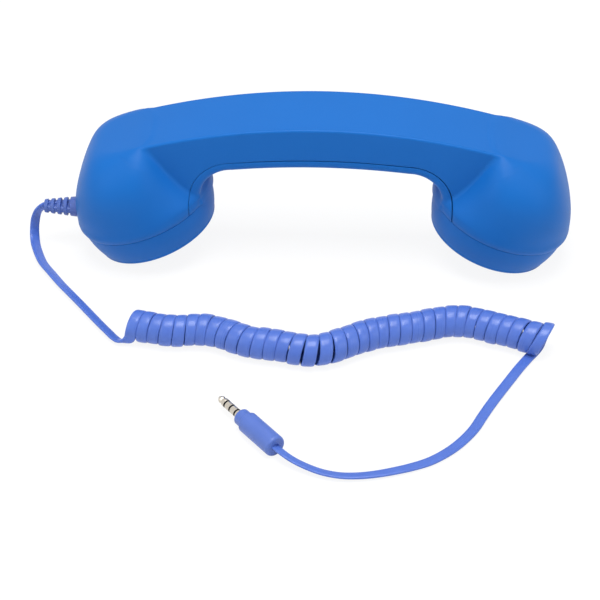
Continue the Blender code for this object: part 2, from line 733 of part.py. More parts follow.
def make_cap(name, side, hole_rings, seat_radius, look, parts, helpers):
    """A cap with a rounded rim, a dished face with holes, a spigot and a round seat inside."""
    spigot = BORE_RADIUS - CLEARANCE
    spigot_top = SEAM_DEPTH + SPIGOT_HEIGHT
    rim = CAP_RADIUS - CAP_EDGE
    seat_top = CAP_FLOOR + SEAT_HEIGHT
    profile = [
        (0.0, CAP_FLOOR),
        (seat_radius, CAP_FLOOR),
        (seat_radius, seat_top),
        (seat_radius + SEAT_WALL, seat_top),
        (seat_radius + SEAT_WALL, CAP_FLOOR),
        (rim - CAP_WALL / 2, CAP_FLOOR),
        (spigot - SPIGOT_WALL, SEAM_DEPTH),
        (spigot - SPIGOT_WALL, spigot_top),
        (spigot, spigot_top),
        (spigot, SEAM_DEPTH),
        (SEAM_RADIUS, SEAM_DEPTH),
    ]
    profile += arc((rim, CAP_EDGE), CAP_EDGE, 0, -90, 3)
    profile += [(DISH_RADIUS + DISH_DEPTH, 0.0), (DISH_RADIUS, DISH_DEPTH), (0.0, DISH_DEPTH)]
    cap = turned(name, profile, look, parts, matrix=cap_matrix(side))
    holes = rod_mesh(HOLE_RADIUS, -0.001, CAP_FLOOR + 0.001, 8, ring_places(hole_rings))
    shape(cap, name + "_holes", holes, "DIFFERENCE", helpers, cap_matrix(side))
    return cap


def make_speaker(parts):
    """Felt, basket, diaphragm and magnet on the ear cap's axis."""
    place = cap_matrix(1)
    felt = material("black_felt", (0.012, 0.012, 0.013), 0.95)
    steel = material("zinc_steel", (0.55, 0.56, 0.57), 0.35, 1.0)
    ferrite = material("ferrite", (0.035, 0.035, 0.038), 0.60)
    film = material("clear_film", (0.62, 0.60, 0.52), 0.25)
    base = SPEAKER_TOP - SPEAKER_HEIGHT
    step = base + SPEAKER_STEP
    inner = SPEAKER_RADIUS - SPEAKER_WALL
    ledge = inner - SPEAKER_LEDGE
    plate = SPEAKER_TOP - SPEAKER_PLATE
    felt_base = CAP_FLOOR + CLEARANCE
    disc = [(0.0, FELT_TOP), (SPEAKER_RADIUS, FELT_TOP), (SPEAKER_RADIUS, felt_base), (0.0, felt_base)]
    turned("ear_felt", disc, felt, parts, matrix=place, steps=20)
    basket = [
        (VENT_RADIUS, SPEAKER_TOP),
        (SPEAKER_RADIUS - SPEAKER_EDGE, SPEAKER_TOP),
        (SPEAKER_RADIUS, SPEAKER_TOP - SPEAKER_EDGE),
        (SPEAKER_RADIUS, base),
        (inner, base),
        (inner, step),
        (ledge, step),
        (ledge, plate),
        (VENT_RADIUS, plate),
    ]
    turned("speaker_basket", basket, steel, parts, matrix=place, steps=28, closed=True)
    rim = inner - CLEARANCE
    rim_top = step - CLEARANCE
    cone, top = VENT_RADIUS + 0.0010, rim_top + 0.0014
    back = [(0.0, rim_top + 0.0008), (VENT_RADIUS, top), (cone, top)]
    back += [(rim - 0.0033, rim_top + 0.0002), (rim - 0.0018, rim_top), (rim, rim_top)]
    front = [(radius, height - DIAPHRAGM_THICKNESS) for radius, height in back[::-1]]
    turned("speaker_diaphragm", back + front, film, parts, matrix=place, steps=24)
    low = SPEAKER_TOP + CLEARANCE
    magnet = [
        (0.0, low + MAGNET_HEIGHT),
        (MAGNET_RADIUS - MAGNET_EDGE, low + MAGNET_HEIGHT),
        (MAGNET_RADIUS, low + MAGNET_HEIGHT - MAGNET_EDGE),
        (MAGNET_RADIUS, low),
        (0.0, low),
    ]
    turned("speaker_magnet", magnet, ferrite, parts, matrix=place, steps=20)


def make_microphone(parts):
    """The capsule in its rubber boot, on the mouth cap's axis."""
    place = cap_matrix(-1)
    rubber = material("black_rubber", (0.015, 0.015, 0.016), 0.80)
    can = material("capsule_can", (0.60, 0.61, 0.62), 0.30, 1.0)
    base = CAP_FLOOR + CLEARANCE
    bore = MIC_RADIUS + CLEARANCE
    boot = [
        (bore, MIC_TOP),
        (bore + BOOT_WALL, MIC_TOP),
        (bore + BOOT_WALL, base),
        (bore - BOOT_LEDGE, base),
        (bore - BOOT_LEDGE, base + BOOT_FLOOR),
        (bore, base + BOOT_FLOOR),
    ]
    turned("mic_boot", boot, rubber, parts, matrix=place, steps=20, closed=True)
    low = MIC_TOP - MIC_HEIGHT
    capsule = [
        (0.0, MIC_TOP),
        (MIC_RADIUS - MIC_EDGE, MIC_TOP),
        (MIC_RADIUS, MIC_TOP - MIC_EDGE),
        (MIC_RADIUS, low),
        (0.0, low),
    ]
    turned("mic_capsule", capsule, can, parts, matrix=place, steps=20)


def make_button(parts, helpers):
    """The call button, and the switch with its board above it. The button and the plunger slide up."""
    dark = material("button_plastic", (0.016, 0.090, 0.360), 0.50)
    black = material("switch_plastic", (0.020, 0.020, 0.022), 0.45)
    green = material("board_laminate", (0.015, 0.110, 0.045), 0.40)
    axis = bpy.data.objects.new("button_axis", None)
    axis.location = (0.0, 0.0, UNDERSIDE_HEIGHT)
    parts.objects.link(axis)
    flange = BUTTON_RADIUS + BUTTON_FLANGE_WIDTH
    button = [
        (0.0, BUTTON_TOP),
        (flange, BUTTON_TOP),
        (flange, BUTTON_TOP - BUTTON_FLANGE),
        (BUTTON_RADIUS, BUTTON_TOP - BUTTON_FLANGE),
    ]
    button += arc((BUTTON_RADIUS - BUTTON_EDGE, BUTTON_EDGE - BUTTON_PROUD), BUTTON_EDGE, 0, -90, 3)
    button.append((0.0, -BUTTON_PROUD))
    turned("call_button", button, dark, parts, parent=axis, steps=20)
    low = BUTTON_TOP + CLEARANCE
    plunger = [
        (0.0, low + PLUNGER_LENGTH),
        (PLUNGER_RADIUS, low + PLUNGER_LENGTH),
        (PLUNGER_RADIUS, low),
        (0.0, low),
    ]
    turned("switch_plunger", plunger, black, parts, parent=axis, steps=12)

    half = SWITCH_SIZE / 2
    base = UNDERSIDE_HEIGHT + SWITCH_BASE
    case = box_mesh((-half, -half, base), (half, half, base + SWITCH_HEIGHT))
    body = link("switch_body", case, black, parts)
    bore_top = base + SWITCH_HEIGHT - SWITCH_LID
    bore = rod_mesh(PLUNGER_RADIUS + CLEARANCE, base - 0.001, bore_top, 12)
    shape(body, "switch_bore", bore, "DIFFERENCE", helpers)
    low = (-BOARD_LENGTH / 2, -BOARD_WIDTH / 2, BOARD_BASE)
    high = (BOARD_LENGTH / 2, BOARD_WIDTH / 2, BOARD_TOP)
    board = link("button_board", box_mesh(low, high), green, parts)
    posts = [(-POST_OUT, 0.0), (POST_OUT, 0.0)]
    bore = rod_mesh(BOARD_SCREW_RADIUS + CLEARANCE, BOARD_BASE - 0.001, BOARD_TOP + 0.001, 12, posts)
    shape(board, "board_holes", bore, "DIFFERENCE", helpers)


def make_screw(name, place, radius, length, look, parts):
    """A pan-head screw that points up from its place, with a round recess in the head."""
    head, height, recess = 2 * radius, 1.3 * radius, 0.7 * radius
    profile = [
        (0.0, length),
        (0.5 * radius, length),
        (radius, length - 0.8 * radius),
        (radius, 0.0),
        (head, 0.0),
        (head, -0.6 * height),
        (0.75 * head, -height),
        (recess, -height),
        (recess, -0.5 * height),
        (0.0, -0.5 * height),
    ]
    return turned(name, profile, look, parts, matrix=Matrix.Translation(place), steps=10)


def make_screws(parts):
    steel = material("screw_steel", (0.50, 0.50, 0.50), 0.30, 1.0)
    corners = [(x, y) for x in (-SCREW_OUT, SCREW_OUT) for y in (-SCREW_APART, SCREW_APART)]
    for number, (x, y) in enumerate(corners, 1):
        place = (x, y, TAB_HEIGHT - CLEARANCE)
        make_screw(f"shell_screw_{number}", place, SCREW_RADIUS, SCREW_LENGTH, steel, parts)
    for number, x in enumerate((-POST_OUT, POST_OUT), 1):
        place = (x, 0.0, BOARD_BASE - CLEARANCE)
        make_screw(f"board_screw_{number}", place, BOARD_SCREW_RADIUS, BOARD_SCREW_LENGTH, steel, parts)


def make_relief(cord_blue, parts):
    """The ribbed strain relief, moulded round the cord, and the tie that stops the cord inside."""
    turn = Matrix.Rotation(math.radians(-90), 4, "Y")
    place = Matrix.Translation((-RELIEF_OUT, 0.0, RELIEF_HEIGHT)) @ turn
    pitch = (RELIEF_LENGTH - RELIEF_COLLAR) / RELIEF_RIBS
    taper = (RELIEF_BASE_RADIUS - RELIEF_TIP_RADIUS) / RELIEF_LENGTH
    profile = [(0.0, RELIEF_LENGTH)]
    for rib in range(RELIEF_RIBS):
        high = RELIEF_LENGTH - rib * pitch
        low = high - (pitch - RELIEF_GROOVE)
        high_radius = RELIEF_BASE_RADIUS - taper * high
        low_radius = RELIEF_BASE_RADIUS - taper * low
        profile += [(high_radius - RELIEF_EDGE, high), (high_radius, high - RELIEF_EDGE)]
        profile += [(low_radius, low + RELIEF_EDGE), (low_radius - RELIEF_EDGE, low)]
        profile += [(RELIEF_CORE_RADIUS, low), (RELIEF_CORE_RADIUS, low - RELIEF_GROOVE)]
    profile += [
        (RELIEF_BASE_RADIUS - RELIEF_EDGE, RELIEF_COLLAR),
        (RELIEF_BASE_RADIUS, RELIEF_COLLAR - RELIEF_EDGE),
        (RELIEF_BASE_RADIUS, 0.0),
        (RELIEF_NECK_RADIUS, 0.0),
        (RELIEF_NECK_RADIUS, -RELIEF_NECK_LENGTH),
        (RELIEF_FLANGE_RADIUS, -RELIEF_NECK_LENGTH),
        (RELIEF_FLANGE_RADIUS, -RELIEF_NECK_LENGTH - RELIEF_FLANGE),
        (0.0, -RELIEF_NECK_LENGTH - RELIEF_FLANGE),
    ]
    turned("strain_relief", profile, cord_blue, parts, matrix=place, steps=16)
    nylon = material("black_nylon", (0.018, 0.018, 0.018), 0.50)
    bore = CORD_RADIUS + CLEARANCE
    high = -RELIEF_NECK_LENGTH - RELIEF_FLANGE - 2 * CLEARANCE
    sleeve("cable_tie", bore + TIE_WALL, bore, high - TIE_WIDTH, high, nylon, parts, place)


def make_cords(cord_blue, parts):
    """The free cord in front of the handset, the cord inside it, and the leads to both caps."""
    tube("cord_upper_tail", smooth_route(UPPER_TAIL, TAIL_STEP), CORD_RADIUS, cord_blue, parts)
    tube("cord_coil", smooth_route(COIL_ROUTE, COIL_STEP), COIL_RADIUS, cord_blue, parts, 4)
    tube("cord_lower_tail", smooth_route(LOWER_TAIL, LOWER_TAIL_STEP), CORD_RADIUS, cord_blue, parts)
    black = material("black_insulation", (0.020, 0.020, 0.022), 0.45)
    red = material("red_insulation", (0.450, 0.020, 0.018), 0.45)
    tube("inner_cord", smooth_route(INNER_CORD, INNER_STEP), CORD_RADIUS, cord_blue, parts)
    starts = (
        ("mic_lead", -1, (*MIC_LEAD_PLACE, MIC_TOP)),
        ("speaker_lead", 1, (*SPEAKER_LEAD_PLACE, SPEAKER_TOP)),
    )
    for name, side, start in starts:
        frame = cap_matrix(side)
        for number, (across, look) in enumerate(((1, red), (-1, black)), 1):
            rise = LEAD_RADIUS + CLEARANCE
            first = Vector((start[0], across * start[1], start[2] + rise))
            ends = [frame @ first, frame @ (first + Vector((0, 0, LEAD_RISE)))]
            route = [tuple(end) for end in ends]
            route += [(side * x, across * y, z) for x, y, z in LEAD_ROUTE]
            tube(f"{name}_{number}", smooth_route(route, LEAD_STEP), LEAD_RADIUS, look, parts, 1)


def make_plug(cord_blue, parts):
    """The plug. Its axis runs from the tip, at its origin, back to the cord."""
    nickel = material("plug_nickel", (0.72, 0.69, 0.63), 0.18, 1.0)
    black = material("plug_insulator", (0.014, 0.014, 0.015), 0.40)
    turn = Matrix.Rotation(PLUG_HEADING, 4, "Z") @ Matrix.Rotation(math.radians(90), 4, "Y")
    place = Matrix.Translation((*PLUG_PLACE, GRIP_RADIUS)) @ turn
    rear = PLUG_LENGTH + PLUG_DEPTH
    tip = [
        (0.0, rear),
        (PLUG_PIN_RADIUS, rear),
        (PLUG_PIN_RADIUS, TIP_LENGTH),
        (PLUG_RADIUS, TIP_LENGTH),
        (PLUG_RADIUS, 0.0036),
        (0.00120, 0.0030),
        (0.00155, 0.0022),
        (0.00150, 0.0017),
        (0.00060, 0.0002),
        (0.00030, 0.0),
        (0.0, 0.0),
    ]
    turned("plug_tip", tip, nickel, parts, matrix=place, steps=16)
    at = TIP_LENGTH
    for number in (1, 2, 3):
        low, high = at + BAND_GAP, at + BAND_LENGTH - BAND_GAP
        bore = PLUG_PIN_RADIUS + BAND_GAP
        sleeve(f"plug_band_{number}", PLUG_RADIUS, bore, low, high, black, parts, place)
        at += BAND_LENGTH
        if number < 3:
            end, name = at + RING_LENGTH, f"plug_ring_{number}"
            sleeve(name, PLUG_RADIUS, PLUG_BORE_RADIUS, at, end, nickel, parts, place)
            at = end
    sleeve("plug_sleeve", PLUG_RADIUS, PLUG_BORE_RADIUS, at, rear, nickel, parts, place)
    back = PLUG_LENGTH + GRIP_COLLAR_LENGTH
    end = back + PLUG_GRIP_LENGTH
    grip_bore = PLUG_RADIUS + CLEARANCE
    grip = [(0.0, end), (CORD_RADIUS, end)]
    grip += arc((GRIP_RADIUS - GRIP_EDGE, end - GRIP_EDGE), GRIP_EDGE, 90, 0, 2)
    grip += arc((GRIP_RADIUS - GRIP_EDGE, back + GRIP_EDGE), GRIP_EDGE, 0, -90, 2)
    grip += [
        (GRIP_COLLAR_RADIUS, back),
        (GRIP_COLLAR_RADIUS, PLUG_LENGTH + GRIP_COLLAR_EDGE),
        (GRIP_COLLAR_RADIUS - GRIP_COLLAR_EDGE, PLUG_LENGTH),
        (grip_bore, PLUG_LENGTH),
        (grip_bore, rear + CLEARANCE),
        (0.0, rear + CLEARANCE),
    ]
    turned("plug_grip", grip, cord_blue, parts, matrix=place, steps=20)


def main():
    clear_scene()
    parts = new_collection("Telephone handset")
    helpers = new_collection("Cutters")
    blue = material("soft_touch_blue", (0.020, 0.150, 0.580), 0.55)
    cord_blue = material("cord_blue", (0.115, 0.205, 0.680), 0.35)
    make_shells(blue, parts, helpers)
    ear_seat = SPEAKER_RADIUS + CLEARANCE
    ring_count = int((DISH_RADIUS - HOLE_MARGIN) / HOLE_SPACING)
    ear_hole_rings = [(ring * HOLE_SPACING, 6 * ring) for ring in range(1, ring_count + 1)]
    make_cap("ear_cap", 1, ear_hole_rings, ear_seat, blue, parts, helpers)
    mouth_seat = MIC_RADIUS + BOOT_WALL + 2 * CLEARANCE
    mouth_cap = make_cap("mouth_cap", -1, MOUTH_HOLE_RINGS, mouth_seat, blue, parts, helpers)
    notch_start = (RELIEF_NOTCH - RELIEF_OUT, 0.0, RELIEF_HEIGHT)
    turn = Matrix.Translation(notch_start) @ Matrix.Rotation(math.radians(90), 4, "Y")
    notch = rod_mesh(RELIEF_FLANGE_RADIUS + CLEARANCE, 0.0, 0.008, 24)
    shape(mouth_cap, "relief_notch", notch, "DIFFERENCE", helpers, turn)
    make_speaker(parts)
    make_microphone(parts)
    make_button(parts, helpers)
    make_screws(parts)
    make_relief(cord_blue, parts)
    make_cords(cord_blue, parts)
    make_plug(cord_blue, parts)


main()
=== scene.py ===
"""A retro telephone handset for a mobile phone, dressed: soft-touch body, curly cord and jack plug.

Every length is in metres. X runs along the handset with the earpiece at +X, -Y is the front.
"""

import json
import math

import bpy
import numpy as np
from mathutils import Matrix

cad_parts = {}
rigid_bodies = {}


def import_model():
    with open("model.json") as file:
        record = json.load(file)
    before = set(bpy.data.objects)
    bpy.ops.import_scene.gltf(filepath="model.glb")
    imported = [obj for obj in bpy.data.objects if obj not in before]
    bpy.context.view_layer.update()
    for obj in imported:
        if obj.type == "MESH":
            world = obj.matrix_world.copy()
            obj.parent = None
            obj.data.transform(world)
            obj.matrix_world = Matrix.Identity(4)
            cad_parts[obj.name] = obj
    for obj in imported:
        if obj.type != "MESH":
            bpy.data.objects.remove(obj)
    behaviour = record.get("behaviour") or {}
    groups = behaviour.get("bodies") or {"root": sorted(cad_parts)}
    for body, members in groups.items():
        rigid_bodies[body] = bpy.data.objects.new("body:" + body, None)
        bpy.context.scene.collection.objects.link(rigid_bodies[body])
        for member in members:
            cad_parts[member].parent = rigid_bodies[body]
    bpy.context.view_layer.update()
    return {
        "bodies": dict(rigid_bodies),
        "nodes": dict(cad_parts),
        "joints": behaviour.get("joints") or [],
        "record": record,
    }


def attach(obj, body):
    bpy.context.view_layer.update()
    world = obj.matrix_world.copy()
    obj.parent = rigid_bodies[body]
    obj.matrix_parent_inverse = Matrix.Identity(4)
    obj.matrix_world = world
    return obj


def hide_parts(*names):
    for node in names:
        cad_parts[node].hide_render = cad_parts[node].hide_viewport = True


# Handle: an arched slab. Its top and its underside are parabolas that stand for arcs of circles
HANDLE_HALF_WIDTH = 0.0160
TOP_HEIGHT = 0.0689
TOP_RADIUS = 0.266
UNDERSIDE_HEIGHT = 0.0498
UNDERSIDE_RADIUS = 0.330
GRIP_HALF = 0.0370
GRIP_FILLET = 0.0140
FILLET_HEIGHT = UNDERSIDE_HEIGHT - GRIP_HALF**2 / (2 * UNDERSIDE_RADIUS) - GRIP_FILLET
TOP_EDGE = 0.0012
LOWER_EDGE = 0.0030
FOOT_LEAN = 0.7

# Inside the cup the slab grows narrower, lower and rounder, and then it stops
HANDLE_REACH = 0.0190
FADE_START = 0.0750
FADE_LENGTH = 0.0140
FADE_NARROWER = 0.0025
FADE_LOWER = 0.0015
FADE_ROUNDER = 0.0050

# Cups: from a round chin about the cap's tilted axis to the oval end of the arched top
CAP_OUT = 0.0711
CAP_TILT = math.radians(19.5)
CAP_RADIUS = 0.0263
CAP_EDGE = 0.0015
SEAM_RADIUS = 0.0295
SEAM_DEPTH = 0.0132
CHIN_RADIUS = 0.0305
CHIN_DEPTH = 0.0165
CUP_TOP_DEPTH = 0.0484
CUP_TOP_OUT = 0.0149
CUP_TOP_IN = 0.0132
CUP_TOP_HALF_WIDTH = 0.0172
CUP_TOP_LEAN = -0.0044
CUP_TOP_POWER = 3.2
CUP_IN_POWER = -1.6
CUP_OUT_BULGE = 0.0080
CUP_IN_BULGE = -0.0060
CUP_FLARE = 3.6
CUP_EASE = 0.10
END_EDGE = 0.0042
END_EDGE_GROWTH = 0.018
CREASE = 0.0014
LEFT_SHIFT = 0.0007
NOSE_INSET = 0.0002
NOSE_TAPER = 0.148
NOSE_CREASE = 0.0020
FACE_HEIGHT = (CAP_RADIUS - CAP_EDGE) * math.sin(CAP_TILT) + CAP_EDGE * (1 - math.cos(CAP_TILT))

# Seams and walls. The seam along the handle is all but closed at its left end
WALL = 0.0022
SEAM_RISE = 0.0042
SEAM_GAP = 0.0003
SEAM_GAP_LEFT = 0.00006
SEAM_OPENING_START = -0.044
SEAM_OPENING_LENGTH = 0.024
CAP_GAP = 0.0001
LIP = 0.00014
LIP_FALL = 0.00014

# Cap: a dished face, a ring that holds the speaker or the microphone, and a spigot in the shells
CAP_FLOOR = 0.0028
CAP_RING_WALL = 0.0012
CAP_RING_TOP = 0.0068
SPIGOT_RADIUS = 0.0273
SPIGOT_WALL = 0.0016
SPIGOT_TOP = 0.0162
SOUND_HOLE_RADIUS = 0.0012
CORD_HOLE_RADIUS = 0.0036
BUTTON_HOLE_RADIUS = 0.0048
BUTTON_RADIUS = 0.0045

# Cord
CORD_WIDTH = 0.0044
CORD_THICKNESS = 0.0015
COIL_RADIUS = 0.0066
TURN_STEPS = 44
RELIEF_OUT = 0.1059
RELIEF_HEIGHT = 0.0179

# Route of the free cord's middle, from inside the strain relief to the coil
UPPER_TAIL = (
    (-0.1120, 0.0, RELIEF_HEIGHT), (-0.1160, 0.0, RELIEF_HEIGHT), (-0.1189, 0.0, 0.0178),
    (-0.1208, 0.0002, 0.0167), (-0.1224, 0.0006, 0.0147), (-0.1236, 0.0010, 0.0118),
    (-0.1243, 0.0006, 0.0084), (-0.1245, -0.0008, 0.0053), (-0.1240, -0.0040, 0.0030),
    (-0.1226, -0.0090, 0.0020), (-0.1187, -0.0187, 0.0016), (-0.1136, -0.0266, 0.0015),
    (-0.1084, -0.0343, 0.0015), (-0.1031, -0.0414, 0.0015), (-0.0978, -0.0485, 0.0015),
    (-0.0927, -0.0555, 0.0015), (-0.0876, -0.0624, 0.0015), (-0.0845, -0.0664, 0.0015),
    (-0.0820, -0.0696, 0.0014), (-0.0801, -0.0715, 0.0013),
)

# Middle of each turn of the coil, on the table in front of the handset
TURNS = (
    (-0.0723, -0.0686), (-0.0684, -0.0694), (-0.0638, -0.0704), (-0.0592, -0.0714), (-0.0547, -0.0713),
    (-0.0500, -0.0704), (-0.0451, -0.0699), (-0.0401, -0.0710), (-0.0351, -0.0728), (-0.0303, -0.0749),
    (-0.0256, -0.0777), (-0.0210, -0.0782), (-0.0161, -0.0789), (-0.0111, -0.0799), (-0.0060, -0.0813),
    (-0.0007, -0.0823), (0.0044, -0.0812), (0.0092, -0.0789), (0.0137, -0.0760), (0.0181, -0.0730),
    (0.0224, -0.0704), (0.0268, -0.0688), (0.0313, -0.0677), (0.0359, -0.0663), (0.0405, -0.0649),
    (0.0451, -0.0632), (0.0498, -0.0613), (0.0545, -0.0602), (0.0593, -0.0597), (0.0642, -0.0604),
    (0.0691, -0.0620), (0.0737, -0.0639), (0.0782, -0.0653), (0.0826, -0.0669), (0.0871, -0.0695),
    (0.0917, -0.0709),
)

# Route of its middle from the coil's last turn, round the front and up into the plug
LOWER_TAIL = (
    (0.0868, -0.0762, 0.0009), (0.0831, -0.0829, 0.0009), (0.0790, -0.0912, 0.0009),
    (0.0747, -0.0999, 0.0009), (0.0714, -0.1069, 0.0009), (0.0684, -0.1138, 0.0009),
    (0.0650, -0.1218, 0.0009), (0.0604, -0.1293, 0.0009), (0.0551, -0.1357, 0.0009),
    (0.0485, -0.1414, 0.0009), (0.0418, -0.1450, 0.0009), (0.0353, -0.1477, 0.0010),
    (0.0288, -0.1499, 0.0011), (0.0220, -0.1514, 0.0012), (0.0150, -0.1519, 0.0014),
    (0.0082, -0.1508, 0.0017), (0.0025, -0.1487, 0.0022), (-0.0030, -0.1459, 0.0029),
    (-0.0075, -0.1427, 0.0037), (-0.0118, -0.1384, 0.0043),
)

# Plug
PLUG_RADIUS = 0.00175
PLUG_BEVEL = 0.00006
PLUG_LENGTH = 0.0148
TIP_LENGTH = 0.0051
RING_LENGTH = 0.00250
BAND_LENGTH = 0.00090
GRIP_RADIUS = 0.0044
GRIP_BODY_LENGTH = 0.0188
GRIP_COLLAR_RADIUS = 0.0035
GRIP_COLLAR_LENGTH = 0.0044
PLUG_PLACE = (-0.0347, -0.1107)
PLUG_HEADING = math.radians(-50.4)

# Camera, fitted to the photograph
CAMERA_LENS = 136.5
CAMERA_ELEVATION = 0.6356
CAMERA_YAW = 0.0662
CAMERA_ROLL = -0.0134
CAMERA_DISTANCE = 1.0
CAMERA_AIM = (-0.0098, 0.0, -0.0290)


def make_camera():
    """A camera at a distance from the point it aims at, turned by yaw, elevation and roll."""
    sine, cosine = math.sin(CAMERA_ELEVATION), math.cos(CAMERA_ELEVATION)
    back = np.array([cosine * math.sin(CAMERA_YAW), -cosine * math.cos(CAMERA_YAW), sine])
    right = np.array([math.cos(CAMERA_YAW), math.sin(CAMERA_YAW), 0.0])
    up = np.cross(back, right)
    turned_right = right * math.cos(CAMERA_ROLL) + up * math.sin(CAMERA_ROLL)
    turned_up = up * math.cos(CAMERA_ROLL) - right * math.sin(CAMERA_ROLL)
    place = np.array(CAMERA_AIM) + back * CAMERA_DISTANCE
    camera = bpy.data.objects.new("camera", bpy.data.cameras.new("camera"))
    bpy.context.scene.collection.objects.link(camera)
    columns = np.column_stack([turned_right, turned_up, back, place])
    camera.matrix_world = Matrix([*columns.tolist(), (0, 0, 0, 1)])
    camera.data.lens = CAMERA_LENS
    camera.data.sensor_width = 36
    camera.data.clip_start, camera.data.clip_end = 0.01, 20
    bpy.context.scene.camera = camera


def linear(code):
    """Linear RGB of an sRGB hex colour."""
    values = [int(code[i : i + 2], 16) / 255 for i in (1, 3, 5)]
    return [v / 12.92 if v <= 0.04045 else ((v + 0.055) / 1.055) ** 2.4 for v in values] + [1.0]


def add(tree, kind, settings=None, **inputs):
    """Adds a node with its settings, and gives its inputs values or links.

    An input is called by its name, with _ for a space, or by i and its number.
    """
    node = tree.nodes.new(kind)
    for name, value in (settings or {}).items():
        setattr(node, name, value)
    for name, value in inputs.items():
        numbered = name[0] == "i" and name[1:].isdigit()
        socket = node.inputs[int(name[1:]) if numbered else name.replace("_", " ")]
        if isinstance(value, bpy.types.NodeSocket):
            tree.links.new(value, socket)
        else:
            socket.default_value = value
    return node


def surface(name, roughness, metallic=0.0, ior=1.5):
    """An empty material with its Principled shader, and the piece's own coordinates."""
    material = bpy.data.materials.new(name)
    material.use_nodes = True
    tree = material.node_tree
    tree.nodes.clear()
    out = tree.nodes.new("ShaderNodeOutputMaterial")
    shader = add(tree, "ShaderNodeBsdfPrincipled", Roughness=roughness, Metallic=metallic, IOR=ior)
    tree.links.new(shader.outputs[0], out.inputs[0])
    place = add(tree, "ShaderNodeTexCoord")
    return material, tree, shader, place


def tinted(tree, shader, fac, low, high):
    """Colours the shader between two hex colours by a pattern from 0 to 1."""
    mix = add(tree, "ShaderNodeMix", {"data_type": "RGBA"}, i0=fac, i6=linear(low), i7=linear(high))
    tree.links.new(mix.outputs[2], shader.inputs["Base Color"])


def bumped(tree, shader, height, strength, distance):
    """Bumps the shader by a pattern from 0 to 1 that stands for a real depth in metres."""
    bump = add(tree, "ShaderNodeBump", Height=height, Strength=strength, Distance=distance)
    tree.links.new(bump.outputs[0], shader.inputs["Normal"])


def glossed(tree, shader, fac, low, high):
    """Moves the shader's roughness between two values by a pattern from 0 to 1."""
    gloss = add(tree, "ShaderNodeMapRange", Value=fac, To_Min=low, To_Max=high)
    tree.links.new(gloss.outputs[0], shader.inputs["Roughness"])


def soft_touch_abs(name="soft_touch_abs", low="#0C5EAC", high="#1062B2"):
    """ABS with a sprayed rubbery coating: a dead-matte blue with an even, very fine orange peel."""
    material, tree, shader, place = surface(name, 0.46, ior=1.47)
    # The sprayed film varies in depth over about 30 mm
    cloud = add(tree, "ShaderNodeTexNoise", Vector=place.outputs["Object"], Scale=34.0, Detail=2.0)
    tinted(tree, shader, cloud.outputs["Fac"], low, high)
    # Orange peel of 0.5 mm, drawn about twice as coarse as the real one so that it shows
    peel = add(tree, "ShaderNodeTexNoise", Vector=place.outputs["Object"], Scale=1 / 0.0005, Detail=3.0)
    glossed(tree, shader, peel.outputs["Fac"], 0.42, 0.52)
    bumped(tree, shader, peel.outputs["Fac"], 0.10, 0.00012)
    shader.inputs["Specular IOR Level"].default_value = 0.18
    return material


def translucent(shader):
    """Lets light go up to a millimetre into soft PVC, the blue of it furthest."""
    shader.inputs["Subsurface Weight"].default_value = 0.04
    shader.inputs["Subsurface Radius"].default_value = (0.0004, 0.0005, 0.0010)
    shader.inputs["Subsurface Scale"].default_value = 1.0


def extruded_pvc(name="extruded_pvc", low="#4664B6", high="#4F6FC1"):
    """Soft plasticised PVC, extruded: a satin violet-blue with faint die lines along the cord."""
    material, tree, shader, place = surface(name, 0.34, ior=1.53)
    # UV: metres along the cord, and metres round its section. Die lines every 0.4 mm round it
    stretch = add(tree, "ShaderNodeMapping", Vector=place.outputs["UV"], Scale=(30.0, 1 / 0.0004, 1.0))
    lines = add(tree, "ShaderNodeTexNoise", Vector=stretch.outputs[0], Scale=1.0, Detail=2.0)
    cloud = add(tree, "ShaderNodeTexNoise", Vector=place.outputs["Object"], Scale=120.0, Detail=2.0)
    tinted(tree, shader, cloud.outputs["Fac"], low, high)
    glossed(tree, shader, lines.outputs["Fac"], 0.24, 0.34)
    bumped(tree, shader, lines.outputs["Fac"], 0.20, 0.00010)
    shader.inputs["Specular IOR Level"].default_value = 0.32
    translucent(shader)
    return material


def moulded_pvc(name="moulded_pvc", low="#4663AF", high="#4E6BB9"):
    """The same PVC, moulded over the cord as grip and strain relief: satin, with a fine spark grain."""
    material, tree, shader, place = surface(name, 0.40, ior=1.53)
    cloud = add(tree, "ShaderNodeTexNoise", Vector=place.outputs["Object"], Scale=150.0, Detail=2.0)
    tinted(tree, shader, cloud.outputs["Fac"], low, high)
    # Spark-eroded grain of 0.25 mm
    grain = add(tree, "ShaderNodeTexNoise", Vector=place.outputs["Object"], Scale=1 / 0.00025, Detail=2.0)
    glossed(tree, shader, grain.outputs["Fac"], 0.34, 0.46)
    bumped(tree, shader, grain.outputs["Fac"], 0.15, 0.00006)
    translucent(shader)
    return material


def nickel_on_brass():
    """Turned brass with polished nickel plating: warm pale metal with faint turning marks."""
    material, tree, shader, place = surface("nickel_on_brass", 0.20, 1.0)
    # UV: metres along the pin. Turning marks every 0.125 mm
    rows = add(tree, "ShaderNodeMapping", Vector=place.outputs["UV"], Scale=(1 / 0.000125, 1.0, 1.0))
    marks = add(tree, "ShaderNodeTexNoise", Vector=rows.outputs[0], Scale=1.0, Detail=2.0)
    tinted(tree, shader, marks.outputs["Fac"], "#B0A89C", "#E4DDD1")
    glossed(tree, shader, marks.outputs["Fac"], 0.14, 0.28)
    bumped(tree, shader, marks.outputs["Fac"], 0.10, 0.00003)
    return material


